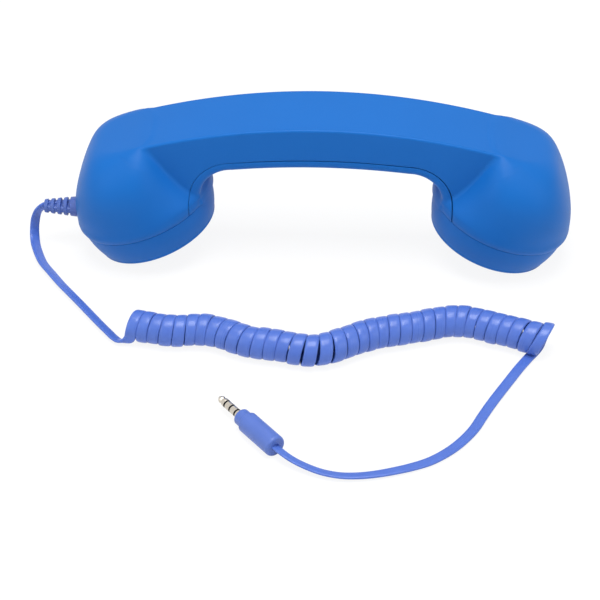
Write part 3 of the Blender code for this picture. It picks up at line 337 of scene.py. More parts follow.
def plain_finish(name, low, high, roughness, metallic=0.0, grain=0.0004, depth=0.00004, ior=1.5):
    """A finish with a cloudy colour and a bump whose grain has a real size in metres."""
    material, tree, shader, place = surface(name, roughness, metallic, ior)
    where = place.outputs["Object"]
    cloud = add(tree, "ShaderNodeTexNoise", Vector=where, Scale=180.0, Detail=3.0)
    tinted(tree, shader, cloud.outputs["Fac"], low, high)
    texture = add(tree, "ShaderNodeTexNoise", Vector=where, Scale=1.0 / grain, Detail=2.0)
    glossed(tree, shader, texture.outputs["Fac"], max(0.05, roughness - 0.06), min(1.0, roughness + 0.06))
    bumped(tree, shader, texture.outputs["Fac"], 0.3, depth)
    return material


def piece(name, points, faces, material, body, uv=None, sharp=35):
    """Puts a mesh in the scene as one piece that rides on a body, shaded smooth up to an angle."""
    mesh = bpy.data.meshes.new(name)
    mesh.from_pydata(points.tolist(), [], faces)
    if uv is not None:
        layer = mesh.uv_layers.new(name="UVMap")
        layer.data.foreach_set("uv", np.asarray(uv, np.float32).ravel())
    mesh.materials.append(material)
    mesh.shade_smooth()
    mesh.set_sharp_from_angle(angle=math.radians(sharp))
    obj = bpy.data.objects.new(name, mesh)
    bpy.context.scene.collection.objects.link(obj)
    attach(obj, body)
    return obj


def grid_faces(rows, columns, wrap=False, start=0, flip=False):
    """Quads of a grid of points, row by row; with wrap its last column joins the first."""
    across = columns if wrap else columns - 1
    row, column = np.meshgrid(np.arange(rows - 1), np.arange(across), indexing="ij")
    a = row * columns + column
    b = row * columns + (column + 1) % columns
    quads = np.stack([a, b, b + columns, a + columns], axis=-1).reshape(-1, 4) + start
    return (quads[:, ::-1] if flip else quads).tolist()


def tube_faces(rows, sides, start=0):
    """Faces of a closed tube of rings: its wall and its two flat ends."""
    end = start + (rows - 1) * sides
    ends = [tuple(range(start, start + sides))[::-1], tuple(range(end, end + sides))]
    return grid_faces(rows, sides, wrap=True, start=start) + ends


def around(sides):
    """Even angles of a full turn."""
    return np.linspace(0, 2 * math.pi, sides, endpoint=False)


def placed(points, frame):
    """The points of a frame in the world."""
    matrix = np.array(frame)
    return points @ matrix[:3, :3].T + matrix[:3, 3]


def distances(line):
    """How far along a line of points each of them lies."""
    return np.concatenate([[0], np.cumsum(np.linalg.norm(np.diff(line, axis=0), axis=1))])


def turned(name, profile, place, material, body, sides, closed=False):
    """A solid of revolution: a profile of (radius, height) turned about the Z axis of a frame.

    A point is the frame times (radius cos a, radius sin a, height) with a from 0 to a full turn.
    With closed the profile's ends are joined, and otherwise each gets a flat disc.
    """
    radius, height = np.array(profile, float).T
    angle = around(sides)
    ring = np.stack([np.cos(angle), np.sin(angle), np.zeros(sides)], axis=-1)
    points = radius[:, None, None] * ring + height[:, None, None] * np.array([0, 0, 1.0])
    rows = len(radius)
    if closed:
        last = (rows - 1) * sides
        faces = grid_faces(rows, sides, wrap=True)
        faces += [(last + i, last + (i + 1) % sides, (i + 1) % sides, i) for i in range(sides)]
    else:
        faces = tube_faces(rows, sides)
    world = placed(points.reshape(-1, 3), place)
    faces = outward(world, faces)
    along = np.concatenate([[0], np.cumsum(np.hypot(np.diff(radius), np.diff(height)))])
    uv = np.column_stack([np.repeat(along, sides), np.tile(angle / (2 * math.pi), rows)])
    return piece(name, world, faces, material, body, uv[np.concatenate(faces)], sharp=30)


def outward(points, faces):
    """The faces, all turned round if the closed mesh has a negative volume."""
    fans = np.concatenate([[(f[0], f[i], f[i + 1]) for i in range(1, len(f) - 1)] for f in faces])
    a, b, c = (points[fans[:, i]] for i in range(3))
    volume = np.einsum("ij,ij->i", a, np.cross(b, c)).sum()
    return [tuple(f)[::-1] for f in faces] if volume < 0 else faces


def unit(vector):
    """Each vector at a length of 1."""
    return vector / np.linalg.norm(vector, axis=-1, keepdims=True)


def arc(centre, radius, start, end, steps):
    """Points on an arc, by angles in degrees."""
    angle = np.radians(np.linspace(start, end, steps + 1))
    return list(zip(centre[0] + radius * np.cos(angle), centre[1] + radius * np.sin(angle)))


def rounded(profile, radius, steps=4):
    """The profile with each inner corner cut by a quadratic curve that starts a radius from it."""
    points = np.array(profile, float)
    out = [points[0]]
    for before, corner, after in zip(points, points[1:], points[2:]):
        back, ahead = before - corner, after - corner
        reach = min(radius, 0.45 * np.linalg.norm(back), 0.45 * np.linalg.norm(ahead))
        low = corner + back / np.linalg.norm(back) * reach
        high = corner + ahead / np.linalg.norm(ahead) * reach
        for t in np.linspace(0, 1, steps + 1):
            out.append((1 - t) ** 2 * low + 2 * t * (1 - t) * corner + t**2 * high)
    out.append(points[-1])
    return [tuple(p) for p in out]


def cut(obj, cutter):
    """Takes a closed mesh away from a piece, for good, and removes it."""
    modifier = obj.modifiers.new("cut", "BOOLEAN")
    modifier.operation = "DIFFERENCE"
    modifier.solver = "EXACT"
    modifier.object = cutter
    graph = bpy.context.evaluated_depsgraph_get()
    mesh = bpy.data.meshes.new_from_object(obj.evaluated_get(graph))
    mesh.set_sharp_from_angle(angle=math.radians(35))
    obj.modifiers.clear()
    obj.data = mesh
    bpy.data.objects.remove(cutter, do_unlink=True)


def rods(places, radius, low, high, frame, sides):
    """Cylinders at (x, y) places of a frame, between two heights, as one loose mesh."""
    angle = around(sides)
    ring = np.column_stack([np.cos(angle), np.sin(angle)]) * radius
    points, faces = [], []
    for number, centre in enumerate(places):
        for height in (low, high):
            points.append(np.column_stack([ring + centre, np.full(sides, height)]))
        faces += tube_faces(2, sides, number * 2 * sides)
    points = placed(np.vstack(points), frame)
    mesh = bpy.data.meshes.new("rods")
    mesh.from_pydata(points.tolist(), [], outward(points, faces))
    obj = bpy.data.objects.new("rods", mesh)
    bpy.context.scene.collection.objects.link(obj)
    return obj


def smooth_max(a, b, width):
    """The greater of two fields, with a rounding where they differ by less than the width."""
    share = np.clip(0.5 + 0.5 * (a - b) / width, 0, 1)
    return b + (a - b) * share + width * share * (1 - share)


def smooth_min(a, b, width):
    """The lesser of two fields, rounded in the same way."""
    return -smooth_max(-a, -b, width)


def top_height(x):
    """Height of the arched top."""
    return TOP_HEIGHT - x * x / (2 * TOP_RADIUS)


def underside_height(x):
    """Height of the handle's arched underside."""
    return UNDERSIDE_HEIGHT - x * x / (2 * UNDERSIDE_RADIUS)


def cap_place(x, z):
    """Depth along the right cap's axis, up from its rim, and distance across that axis."""
    out, up = x - CAP_OUT, z - FACE_HEIGHT
    return (
        out * math.sin(CAP_TILT) + up * math.cos(CAP_TILT),
        out * math.cos(CAP_TILT) - up * math.sin(CAP_TILT),
    )


def cup_field(x, y, z):
    """How far a point lies outside the cup, less than 0 inside.

    A point's level runs upright from 0 at the tilted chin plane to 1 at the arched top. At each level
    the outline is a superellipse, whose middle, half axes and power go from the chin's circle to the
    oval end of the top; its outer half bulges and its inner half is drawn in. Below the chin it is a
    body of revolution about the cap's axis.
    """
    depth, across = cap_place(x, z)
    chin = FACE_HEIGHT + (CHIN_DEPTH - (x - CAP_OUT) * math.sin(CAP_TILT)) / math.cos(CAP_TILT)
    level = np.clip((z - chin) / np.maximum(top_height(x) - chin, 0.004), 0, 1)
    level = (np.sqrt(level**2 + CUP_EASE**2) - CUP_EASE) / (math.sqrt(1 + CUP_EASE**2) - CUP_EASE)
    middle_depth = CHIN_DEPTH + (CUP_TOP_DEPTH - CHIN_DEPTH) * level
    along = (x - CAP_OUT - middle_depth * math.sin(CAP_TILT)) / math.cos(CAP_TILT)
    along -= CUP_TOP_LEAN * level**2
    hump = level * (1 - level)
    outer_half = CHIN_RADIUS + (CUP_TOP_OUT - CHIN_RADIUS) * level + CUP_OUT_BULGE * hump
    inner_half = CHIN_RADIUS + (CUP_TOP_IN - CHIN_RADIUS) * level + CUP_IN_BULGE * hump
    half_length = np.where(along > 0, outer_half, inner_half)
    half_width = CHIN_RADIUS + (CUP_TOP_HALF_WIDTH - CHIN_RADIUS) * level**CUP_FLARE
    power = 2 + (CUP_TOP_POWER - 2) * level + np.where(along > 0, 0, CUP_IN_POWER * hump)
    ratio = (np.abs(along / half_length) ** power + np.abs(y / half_width) ** power) ** (1 / power)
    side = (ratio - 1) * np.minimum(half_length, half_width)
    fall = np.maximum(CHIN_DEPTH - depth, 0) / (CHIN_DEPTH - SEAM_DEPTH)
    below = np.hypot(across, y) - (CHIN_RADIUS - (CHIN_RADIUS - SEAM_RADIUS) * fall**2)
    outer = np.clip((x - FADE_START) / END_EDGE_GROWTH, 0, 1)
    edge = TOP_EDGE + (END_EDGE - TOP_EDGE) * outer * outer * (3 - 2 * outer)
    return smooth_max(np.where(depth < CHIN_DEPTH, below, side), z - top_height(x), edge)


def handle_field(x, y, z):
    """How far a point lies outside the handle: a slab under the arched top, over the underside's
    arc, its fillets and its upright feet, which lean out of sight into the cups. Within the cup
    the slab grows narrower, lower and rounder before it stops."""
    fade = np.clip((x - FADE_START) / FADE_LENGTH, 0, 1)
    fade = fade * fade * (3 - 2 * fade)
    narrow = np.abs(y) - HANDLE_HALF_WIDTH + FADE_NARROWER * fade
    low = z - top_height(x) + FADE_LOWER * fade
    side = smooth_max(narrow, low, TOP_EDGE + FADE_ROUNDER * fade)
    fillet = GRIP_FILLET - np.hypot(x - GRIP_HALF, z - FILLET_HEIGHT)
    foot = GRIP_HALF + GRIP_FILLET + FOOT_LEAN * (FILLET_HEIGHT - z) - x
    under = np.where(x < GRIP_HALF, underside_height(x) - z, np.where(z > FILLET_HEIGHT, fillet, foot))
    return np.maximum(smooth_max(side, under, LOWER_EDGE), x - CAP_OUT - HANDLE_REACH)


def nose_field(x, y, z):
    """How far a point lies outside the cup's round inner wall: a cone about the cap's axis that
    stops inside the handle."""
    depth, across = cap_place(x, z)
    radius = CHIN_RADIUS - NOSE_INSET - NOSE_TAPER * np.maximum(depth - CHIN_DEPTH, 0)
    wall = np.hypot(across, y) - radius
    stop = np.maximum(np.maximum(depth - 0.030, x - 0.061), np.abs(y) - 0.0135)
    return np.maximum(wall, stop)


def folded(x):
    """x as on the right half. The left half is the mirrored right one, a little nearer the middle."""
    return np.abs(x) + np.where(x < 0, LEFT_SHIFT, 0)


def body_field(x, y, z):
    """The handset's form as a union of handle, cups and noses, with soft creases between them."""
    x = folded(x)
    joined = smooth_min(handle_field(x, y, z), cup_field(x, y, z), CREASE)
    return smooth_min(joined, nose_field(x, y, z), NOSE_CREASE)


def cast(start, direction, level=0.0, reach=0.070, steps=34):
    """Distance along each ray to where the body's field passes a level, by halving its span."""
    low = np.zeros(np.broadcast_shapes(start.shape, direction.shape)[:-1])
    high = np.full_like(low, reach)
    for _ in range(steps):
        middle = (low + high) / 2
        point = start + direction * middle[..., None]
        inside = body_field(point[..., 0], point[..., 1], point[..., 2]) < level
        low, high = np.where(inside, middle, low), np.where(inside, high, middle)
    return (low + high) / 2


def section_planes(fan_rows, middle_rows):
    """Planes that cut the handset across, as a point on the shells' seam and an outward direction.

    They fan about a point before each cup, from the cap's seam to upright, and stand parallel
    between the two fans. The left ones mirror the right ones.
    """
    hub_height = FACE_HEIGHT + (
        SEAM_DEPTH + CAP_GAP - (GRIP_HALF - CAP_OUT) * math.sin(CAP_TILT)
    ) / math.cos(CAP_TILT)
    edge = np.radians([0, 0.15, 0.4, 0.8])
    turn = np.concatenate([edge[:-1], np.linspace(edge[-1], math.pi / 2 + CAP_TILT, fan_rows - 3)]) - CAP_TILT
    rise = hub_height - FILLET_HEIGHT
    radius = GRIP_FILLET + SEAM_RISE
    arc_reach = -rise * np.sin(turn) + np.sqrt(radius**2 - (rise * np.cos(turn)) ** 2)
    reach = np.where(hub_height + arc_reach * np.sin(turn) > FILLET_HEIGHT, arc_reach, radius / np.cos(turn))
    fan = np.column_stack([
        GRIP_HALF + reach * np.cos(turn), hub_height + reach * np.sin(turn), np.cos(turn), np.sin(turn),
    ])
    x = np.linspace(GRIP_HALF, LEFT_SHIFT - GRIP_HALF, middle_rows)[1:-1]
    middle = np.column_stack([x, underside_height(folded(x)) + SEAM_RISE, np.zeros_like(x), np.ones_like(x)])
    left = fan[::-1] * [-1, 1, -1, 1] + [LEFT_SHIFT, 0, 0, 0]
    return np.vstack([fan, middle, left])


def fanned(angle, direction):
    """Rays turned from a direction toward +Y by an angle."""
    return np.cos(angle)[..., None] * direction + np.sin(angle)[..., None] * np.array([0, 1.0, 0])


def summed(steps):
    """Running sums along each row, from 0."""
    return np.concatenate([np.zeros((len(steps), 1)), np.cumsum(steps, axis=1)], axis=1)


def even_angles(start, direction, span, count, dense=900):
    """Angles across each section, close where its outline turns and wide where it runs straight.

    The outline is cast at many even angles; its length plus its turning is summed, and the sum is
    shared out evenly. Three extra steps stand close to each end, for the seam's rounded lip.
    """
    angle = span * np.linspace(-1, 1, dense)
    ray = fanned(angle, direction)
    point = start + ray * cast(start, ray)[..., None]
    step = np.diff(point, axis=1)
    length = np.linalg.norm(step, axis=-1)
    way = step / np.maximum(length, 1e-9)[..., None]
    bend = np.zeros_like(length)
    bend[:, 1:] = np.arccos(np.clip(np.einsum("ijk,ijk->ij", way[:, 1:], way[:, :-1]), -1, 1))
    kernel = np.ones(9) / 9
    bend = np.apply_along_axis(lambda row: np.convolve(row, kernel, "same"), 1, bend)
    # All the turning of a section weighs a little more than its length
    total = summed(length + bend * length.sum(1, keepdims=True) / (1.6 * math.pi))
    run = summed(length)
    near = np.array([0, 0.00012, 0.00030, 0.0006])
    rows = []
    for row in range(len(total)):
        ends = np.interp(near, run[row], total[row])
        last = np.interp(run[row, -1] - near[::-1], run[row], total[row])
        inner = np.linspace(ends[-1], last[0], count - 6)
        places = np.concatenate([ends[:-1], inner, last[1:]])
        rows.append(np.interp(places, total[row], angle[row]))
    return np.array(rows)


def skin(planes, side, count):
    """The outer surface of one shell, and the inner one a wall below it, as grids of points.

    side is 1 for the part beyond the seam and -1 for the underside. Rays leave a point in each
    section plane, and the outermost ones meet the body where the seam does. A lip rounds each rim:
    its depth falls off as exp(-distance / LIP_FALL).
    """
    seam = np.column_stack([planes[:, 0], np.zeros(len(planes)), planes[:, 1]])
    away = np.column_stack([planes[:, 2], np.zeros(len(planes)), planes[:, 3]])
    open_share = np.clip((planes[:, 0] - SEAM_OPENING_START) / SEAM_OPENING_LENGTH, 0, 1)
    gap = SEAM_GAP_LEFT + (SEAM_GAP - SEAM_GAP_LEFT) * open_share**2 * (3 - 2 * open_share)
    edge = seam + side * away * gap[:, None] / 2
    direction = (side * away)[:, None, :]
    if side > 0:
        # The start lies beyond the seam, further at the cups than along the handle
        turn = np.arctan2(planes[:, 3], np.abs(planes[:, 2]))
        fan_share = np.clip((math.pi / 2 - turn) / (math.pi / 2 + CAP_TILT), 0, 1)
        shift = 0.0066 + 0.0155 * fan_share
        half = cast(edge, np.broadcast_to([0, 1.0, 0], edge.shape))
        start = (edge + away * shift[:, None])[:, None, :]
        span = (math.pi / 2 + np.arctan2(shift, half))[:, None]
    else:
        start = edge[:, None, :]
        span = np.full((len(planes), 1), math.pi / 2)
    ray = fanned(even_angles(start, direction, span, count), direction)
    reach = cast(start, ray)
    outer = start + ray * reach[..., None]
    run = summed(np.linalg.norm(np.diff(outer, axis=1), axis=-1))
    from_edge = np.minimum(run, run[:, -1:] - run)
    ends = np.minimum(np.arange(len(planes)), np.arange(len(planes))[::-1])
    row_edge = np.array([0, 0.00012, 0.00035, 0.0007])[np.minimum(ends, 3)][:, None]
    lip = LIP * (np.exp(-from_edge / LIP_FALL) + np.exp(-row_edge / LIP_FALL))
    outer = start + ray * (reach - lip)[..., None]
    inner = start + ray * cast(start, ray, -WALL)[..., None]
    return outer, inner[::3, ::3]


def shell_faces(rows, columns):
    """Faces of a closed shell: a fine outer grid, an inner grid with a third of its rows and
    columns, and between their rims one face to three fine edges."""
    small_rows, small_columns = (rows - 1) // 3 + 1, (columns - 1) // 3 + 1
    base = rows * columns
    faces = grid_faces(rows, columns)
    faces += grid_faces(small_rows, small_columns, start=base, flip=True)

    def rim(fine, coarse):
        return [(*fine[3 * i : 3 * i + 4], coarse[i + 1], coarse[i]) for i in range(len(coarse) - 1)]

    fine = np.arange(base).reshape(rows, columns)
    coarse = np.arange(small_rows * small_columns).reshape(small_rows, small_columns) + base
    strips = rim(fine[0], coarse[0]) + rim(fine[:, -1], coarse[:, -1])
    strips += rim(fine[-1, ::-1], coarse[-1, ::-1]) + rim(fine[::-1, 0], coarse[::-1, 0])
    return faces + [tuple(int(i) for i in strip[::-1]) for strip in strips]


def make_shell(name, planes, side, count, material):
    """One of the two shells, as a closed piece with a real wall."""
    outer, inner = skin(planes, side, count)
    points = np.vstack([outer.reshape(-1, 3), inner.reshape(-1, 3)])
    faces = outward(points, shell_faces(len(outer), outer.shape[1]))
    return piece(name, points, faces, material, "handset")


def make_body(material):
    """Both shells, with the hole for the cord in one and the button's in the other."""
    planes = section_planes(fan_rows=100, middle_rows=49)
    outer = make_shell("upper_body", planes, 1, 151, material)
    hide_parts("outer_shell")
    hole = Matrix.Translation((-RELIEF_OUT, 0, RELIEF_HEIGHT)) @ Matrix.Rotation(math.radians(90), 4, "Y")
    cut(outer, rods([(0.0, 0.0)], CORD_HOLE_RADIUS, -0.006, 0.006, hole, 48))
    inner = make_shell("lower_body", planes, -1, 91, material)
    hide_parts("inner_shell")
    cut(inner, rods([(0.0, 0.0)], BUTTON_HOLE_RADIUS, 0.045, 0.056, Matrix.Identity(4), 64))


def cap_matrix(side):
    """Frame of a cap: its origin is the middle of the face, and +Z runs up the cap's axis."""
    out = CAP_OUT if side > 0 else LEFT_SHIFT - CAP_OUT
    return Matrix.Translation((out, 0.0, FACE_HEIGHT)) @ Matrix.Rotation(side * CAP_TILT, 4, "Y")


def ring_places(rings):
    """Places on circles, each ring given as its radius and its count."""
    return [
        (radius * math.cos(turn), radius * math.sin(turn))
        for radius, count in rings
        for turn in np.linspace(0, 2 * math.pi, count, endpoint=False)
    ]


def make_cap(name, node, side, hole_rings, seat_radius, material):
    """A cap: its profile turned about the tilted axis, with round sound holes."""
    seat, bore = seat_radius + CAP_RING_WALL, SPIGOT_RADIUS - SPIGOT_WALL
    profile = [(0.0001, CAP_FLOOR), (seat_radius, CAP_FLOOR), (seat_radius, CAP_RING_TOP)]
    profile += [(seat, CAP_RING_TOP), (seat, CAP_FLOOR), (0.0238, CAP_FLOOR), (bore, SEAM_DEPTH)]
    profile += [(bore, SPIGOT_TOP), (SPIGOT_RADIUS, SPIGOT_TOP), (SPIGOT_RADIUS, SEAM_DEPTH)]
    lip = rounded([
        (SPIGOT_RADIUS, SEAM_DEPTH), (SEAM_RADIUS, SEAM_DEPTH), (SEAM_RADIUS - 0.0009, SEAM_DEPTH - 0.003),
    ], 0.0004)
    profile += lip[1:-1]
    # From the seam to the rim the wall is a shallow curve that swells by half a millimetre
    share = np.linspace(0, 1, 18)[1:-1]
    rim = (CAP_RADIUS, CAP_EDGE)
    low = lip[-2]
    wall_r = low[0] + (rim[0] - low[0]) * share + 0.0005 * np.sin(math.pi * share)
    wall_z = low[1] + (rim[1] - low[1]) * share
    profile += list(zip(wall_r, wall_z))
    profile += arc((CAP_RADIUS - CAP_EDGE, CAP_EDGE), CAP_EDGE, 6, -90, 10)
    profile += rounded([(0.0225, 0.0), (0.0208, 0.0), (0.0200, 0.0008), (0.0001, 0.0008)], 0.0006)
    obj = turned(name, profile, cap_matrix(side), material, "handset", sides=160)
    cut(obj, rods(ring_places(hole_rings), SOUND_HOLE_RADIUS, -0.001, 0.004, cap_matrix(side), 20))
    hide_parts(node)


def make_call_button(material):
    """The round button: a flange inside and a slightly dished face with a soft edge."""
    top = WALL + SEAM_GAP + 0.0012
    profile = [(0.0001, top), (0.0057, top), (0.0057, top - 0.0012), (BUTTON_RADIUS, top - 0.0012)]
    profile += arc((0.0041, -0.0002), 0.0004, 0, -90, 6)
    dish = np.linspace(0.0038, 0.0001, 12)
    profile += list(zip(dish, -0.0006 + 0.00025 * (1 - (dish / 0.0038) ** 2)))
    place = Matrix.Translation((0, 0, UNDERSIDE_HEIGHT))
    obj = turned("answer_button", profile, place, material, "call_button", sides=72)
    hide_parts("call_button")


def spline(points, spacing):
    """Points at an even spacing on the Catmull-Rom curve through a route's points."""
    points = np.array(points, float)
    ends = np.vstack([2 * points[0] - points[1], points, 2 * points[-1] - points[-2]])
    share = np.linspace(0, 1, 16, endpoint=False)[None, :, None]
    a, b, c, d = (ends[i : i + len(points) - 1][:, None, :] for i in range(4))
    cubic = (3 * b - a - 3 * c + d) * share**3
    curve = 0.5 * (2 * b + (c - a) * share + (2 * a - 5 * b + 4 * c - d) * share**2 + cubic)
    curve = np.vstack([curve.reshape(-1, points.shape[1]), points[-1:]])
    along = distances(curve)
    places = np.linspace(0, along[-1], max(2, round(along[-1] / spacing) + 1))
    return np.column_stack([np.interp(places, along, axis) for axis in curve.T])


def hermite(start, start_way, end, end_way, count):
    """A cubic between two points that leaves and arrives along two given ways."""
    t = np.linspace(0, 1, count)[:, None]
    return (
        (2 * t**3 - 3 * t**2 + 1) * start
        + (t**3 - 2 * t**2 + t) * start_way
        + (3 * t**2 - 2 * t**3) * end
        + (t**3 - t**2) * end_way
    )


def coil_line():
    """The helix and its outward directions. Turn k has its front at k: the line goes up the front,
    over the top and down the back while its middle moves on by one place of TURNS."""
    middles = np.array(TURNS)
    count = len(middles)
    first, last = -0.04, count - 1 + 0.66
    turn = np.arange(first, last, 1 / TURN_STEPS)
    ends = np.vstack([2 * middles[0] - middles[1], middles, middles[-1] + [0.0028, 0.0]])
    whole = np.arange(-1, count + 1)

    def middle_at(places):
        return np.column_stack([np.interp(places, whole, row) for row in ends.T])

    # The middle moves on evenly, and its small bends are spread over most of a turn
    blur = np.linspace(-0.8, 0.8, 25)
    middle = sum(middle_at(turn + shift) for shift in blur) / len(blur)
    axis = unit(middle_at(turn + 1.5) - middle_at(turn - 1.5))
    # The last turns are wider by up to 0.4 mm and lean over to the right
    late = np.clip((turn - (count - 3.0)) / 2.4, 0, 1) ** 1.5
    angle = 2 * math.pi * turn
    radius = COIL_RADIUS - CORD_THICKNESS / 2 + 0.0004 * late
    wobble = 0.00012 * np.sin(2.3 * turn) + 0.00010 * np.sin(5.1 * turn + 1)
    out = np.column_stack([axis[:, 1] * np.cos(angle), -axis[:, 0] * np.cos(angle), np.sin(angle)])
    line = np.column_stack([middle, COIL_RADIUS + 0.0004 * late]) + (radius + wobble)[:, None] * out
    line[:, 0] += 0.0025 * late * np.sin(angle)
    # The first half turn comes in from the left
    line[:, 0] -= 0.0006 * np.clip(1 - (turn - first) / 0.5, 0, 1) ** 2
    # Each turn touches the next: the flat's width follows the nearer of its two neighbours
    pitch = np.linalg.norm(line[TURN_STEPS:] - line[:-TURN_STEPS], axis=1)
    behind = np.concatenate([pitch[:1].repeat(TURN_STEPS), pitch])
    beyond = np.concatenate([pitch, pitch[-1:].repeat(TURN_STEPS)])
    width = np.clip(np.minimum(behind, beyond) + 0.00004, 0.0042, 0.0053)
    return line, out, width


def leaning(line, degrees):
    """Downward facings of a lying cord, each leaned over sideways by an angle."""
    up = np.array([0, 0, 1.0])
    side = unit(np.cross(up, np.gradient(line, axis=0)) + 1e-9)
    lean = np.radians(degrees)[:, None]
    return -(up * np.cos(lean) + side * np.sin(lean))


def cord_line():
    """The cord's whole centreline, and at each point its facing, across the flat, and its width."""
    coil, out, width = coil_line()
    upper = spline(UPPER_TAIL, 0.0012)
    lower = spline(LOWER_TAIL, 0.0016)
    # Both tails run into the helix on curves as stiff as their ends' ways are long
    way = 0.0085
    into, up = way * unit(upper[-1] - upper[-3]), way * unit(coil[1] - coil[0])
    down, away = way * unit(coil[-1] - coil[-2]), way * unit(lower[2] - lower[0])
    first = hermite(upper[-1], into, coil[0], up, 14)
    last = hermite(coil[-1], down, lower[0], away, 12)
    line = np.vstack([upper, first[1:-1], coil, last[1:-1], lower])
    # From the strain relief the flat hangs on edge, and it turns over as it comes down to lie
    lying = leaning(upper, np.full(len(upper), 20.0))
    drop = np.interp(upper[:, 2], [0.0022, 0.0125], [0, 1.0])[:, None]
    fallen = lying + (np.array([-0.62, 0.78, 0.0]) - lying) * drop
    upper_facing = np.where((np.arange(len(upper)) > len(upper) // 2)[:, None], lying, fallen)
    lower_facing = leaning(lower, -25.0 * np.clip(np.linspace(-1.2, 1.0, len(lower)), 0, 1))
    t = np.linspace(0, 1, len(first))[1:-1, None]
    turn_in = lying[-1] + (out[0] - lying[-1]) * t * t * (3 - 2 * t)
    t = np.linspace(0, 1, len(last))[1:-1, None]
    turn_out = out[-1] + (lower_facing[0] - out[-1]) * t
    facing = np.vstack([upper_facing, turn_in, out, turn_out, lower_facing])
    before, after = len(upper) + len(first) - 2, len(last) - 2 + len(lower)
    place = np.arange(len(line))
    # The flat keeps its plain width to 8 steps before the coil and from 8 steps after it
    coil_places = np.arange(before, before + len(coil))
    known = np.concatenate([[0, before - 8], coil_places, [len(line) - after + 8, len(line)]])
    wide = np.concatenate([[CORD_WIDTH] * 2, width, [CORD_WIDTH] * 2])
    return line, facing, np.interp(place, known, wide)


def flat_section(sides):
    """A flat oval: a superellipse of power 2.5 whose broad faces sink by 0.08 mm along the middle."""
    angle = around(sides)
    cosine, sine = np.cos(angle), np.sin(angle)
    wide = np.sign(cosine) * np.abs(cosine) ** (2 / 2.5)
    thick = np.sign(sine) * np.abs(sine) ** (2 / 2.5)
    return wide / 2, CORD_THICKNESS / 2 * thick - np.sign(sine) * 0.00008 * (1 - wide**2) ** 2


def make_cord(material):
    """The flat cord: its section carried along the centreline, turned with the facing."""
    line, facing, width = cord_line()
    tangent = unit(np.gradient(line, axis=0))
    facing = unit(facing - np.einsum("ij,ij->i", facing, tangent)[:, None] * tangent)
    across = np.cross(facing, tangent)
    sides = 28
    wide, thick = flat_section(sides)
    points = line[:, None, :] + across[:, None, :] * (width[:, None] * wide)[..., None]
    points += facing[:, None, :] * thick[None, :, None]
    flat = points.reshape(-1, 3)
    faces = outward(flat, tube_faces(len(line), sides))
    along = distances(line)
    girth = np.abs(np.linspace(-0.0055, 0.0055, sides))
    uv = np.column_stack([np.repeat(along, sides), np.tile(girth, len(line))])[np.concatenate(faces)]
    obj = piece("curly_cord", flat, faces, material, "handset", uv)
    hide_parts("cord_upper_tail", "cord_coil", "cord_lower_tail")
    return obj, line, float(along[-1])


def make_relief(material):
    """The strain relief: a taper whose grooves leave a flat web, as radius by place and angle."""
    length, collar, ribs, groove = 0.0132, 0.0020, 4, 0.0011
    base, tip = 0.0044, 0.0029
    pitch = (length - collar) / ribs
    sides = 72
    angle = around(sides)
    cosine, sine = np.cos(angle), np.sin(angle)

    def ring(place, inset):
        """The taper's round outline at a place, drawn in by an inset."""
        return np.full(sides, base - (base - tip) * place / length - inset)

    def web(place):
        """The groove's bottom: a rounded bar as wide as the taper and 3 mm high."""
        wide, high = base - (base - tip) * place / length - 0.0002, 0.0015
        return (np.abs(cosine / wide) ** 5 + np.abs(sine / high) ** 5) ** (-1 / 5)

    def edge(place, inward):
        """A rib's or the collar's rounded edge, with its body on the side of inward, -1 or 1."""
        steps = ((0.0003, 0.0), (0.0001, 0.0001), (0.0, 0.0003))
        edge_rows = [(place + inward * back, ring(place, inset)) for back, inset in steps]
        return edge_rows if inward < 0 else edge_rows[::-1]

    # A flange inside the shell, a neck through its hole, the collar, and then the ribs
    flange, neck, centre = (np.full(sides, radius) for radius in (0.0050, 0.0032, 0.0001))
    rows = [(-0.0060, centre), (-0.0060, flange), (-0.0043, flange), (-0.0043, neck), (-0.0010, neck)]
    rows += [(-0.0010, ring(0, 0.0)), *edge(collar, -1)]
    for rib in range(ribs):
        low = collar + rib * pitch + groove
        high = collar + (rib + 1) * pitch
        rows += [(low - groove, web(low)), (low, web(low)), *edge(low, 1), *edge(high, -1)]
    rows += [(length + 0.0002, ring(length, 0.0008)), (length + 0.0002, centre)]
    place = np.array([row[0] for row in rows])
    radius = np.array([row[1] for row in rows])
    points = np.stack([
        -RELIEF_OUT - np.broadcast_to(place[:, None], radius.shape),
        radius * cosine,
        RELIEF_HEIGHT + radius * sine,
    ], axis=-1).reshape(-1, 3)
    faces = outward(points, tube_faces(len(rows), sides))
    obj = piece("cord_strain_relief", points, faces, material, "handset")
    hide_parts("strain_relief")
    return obj


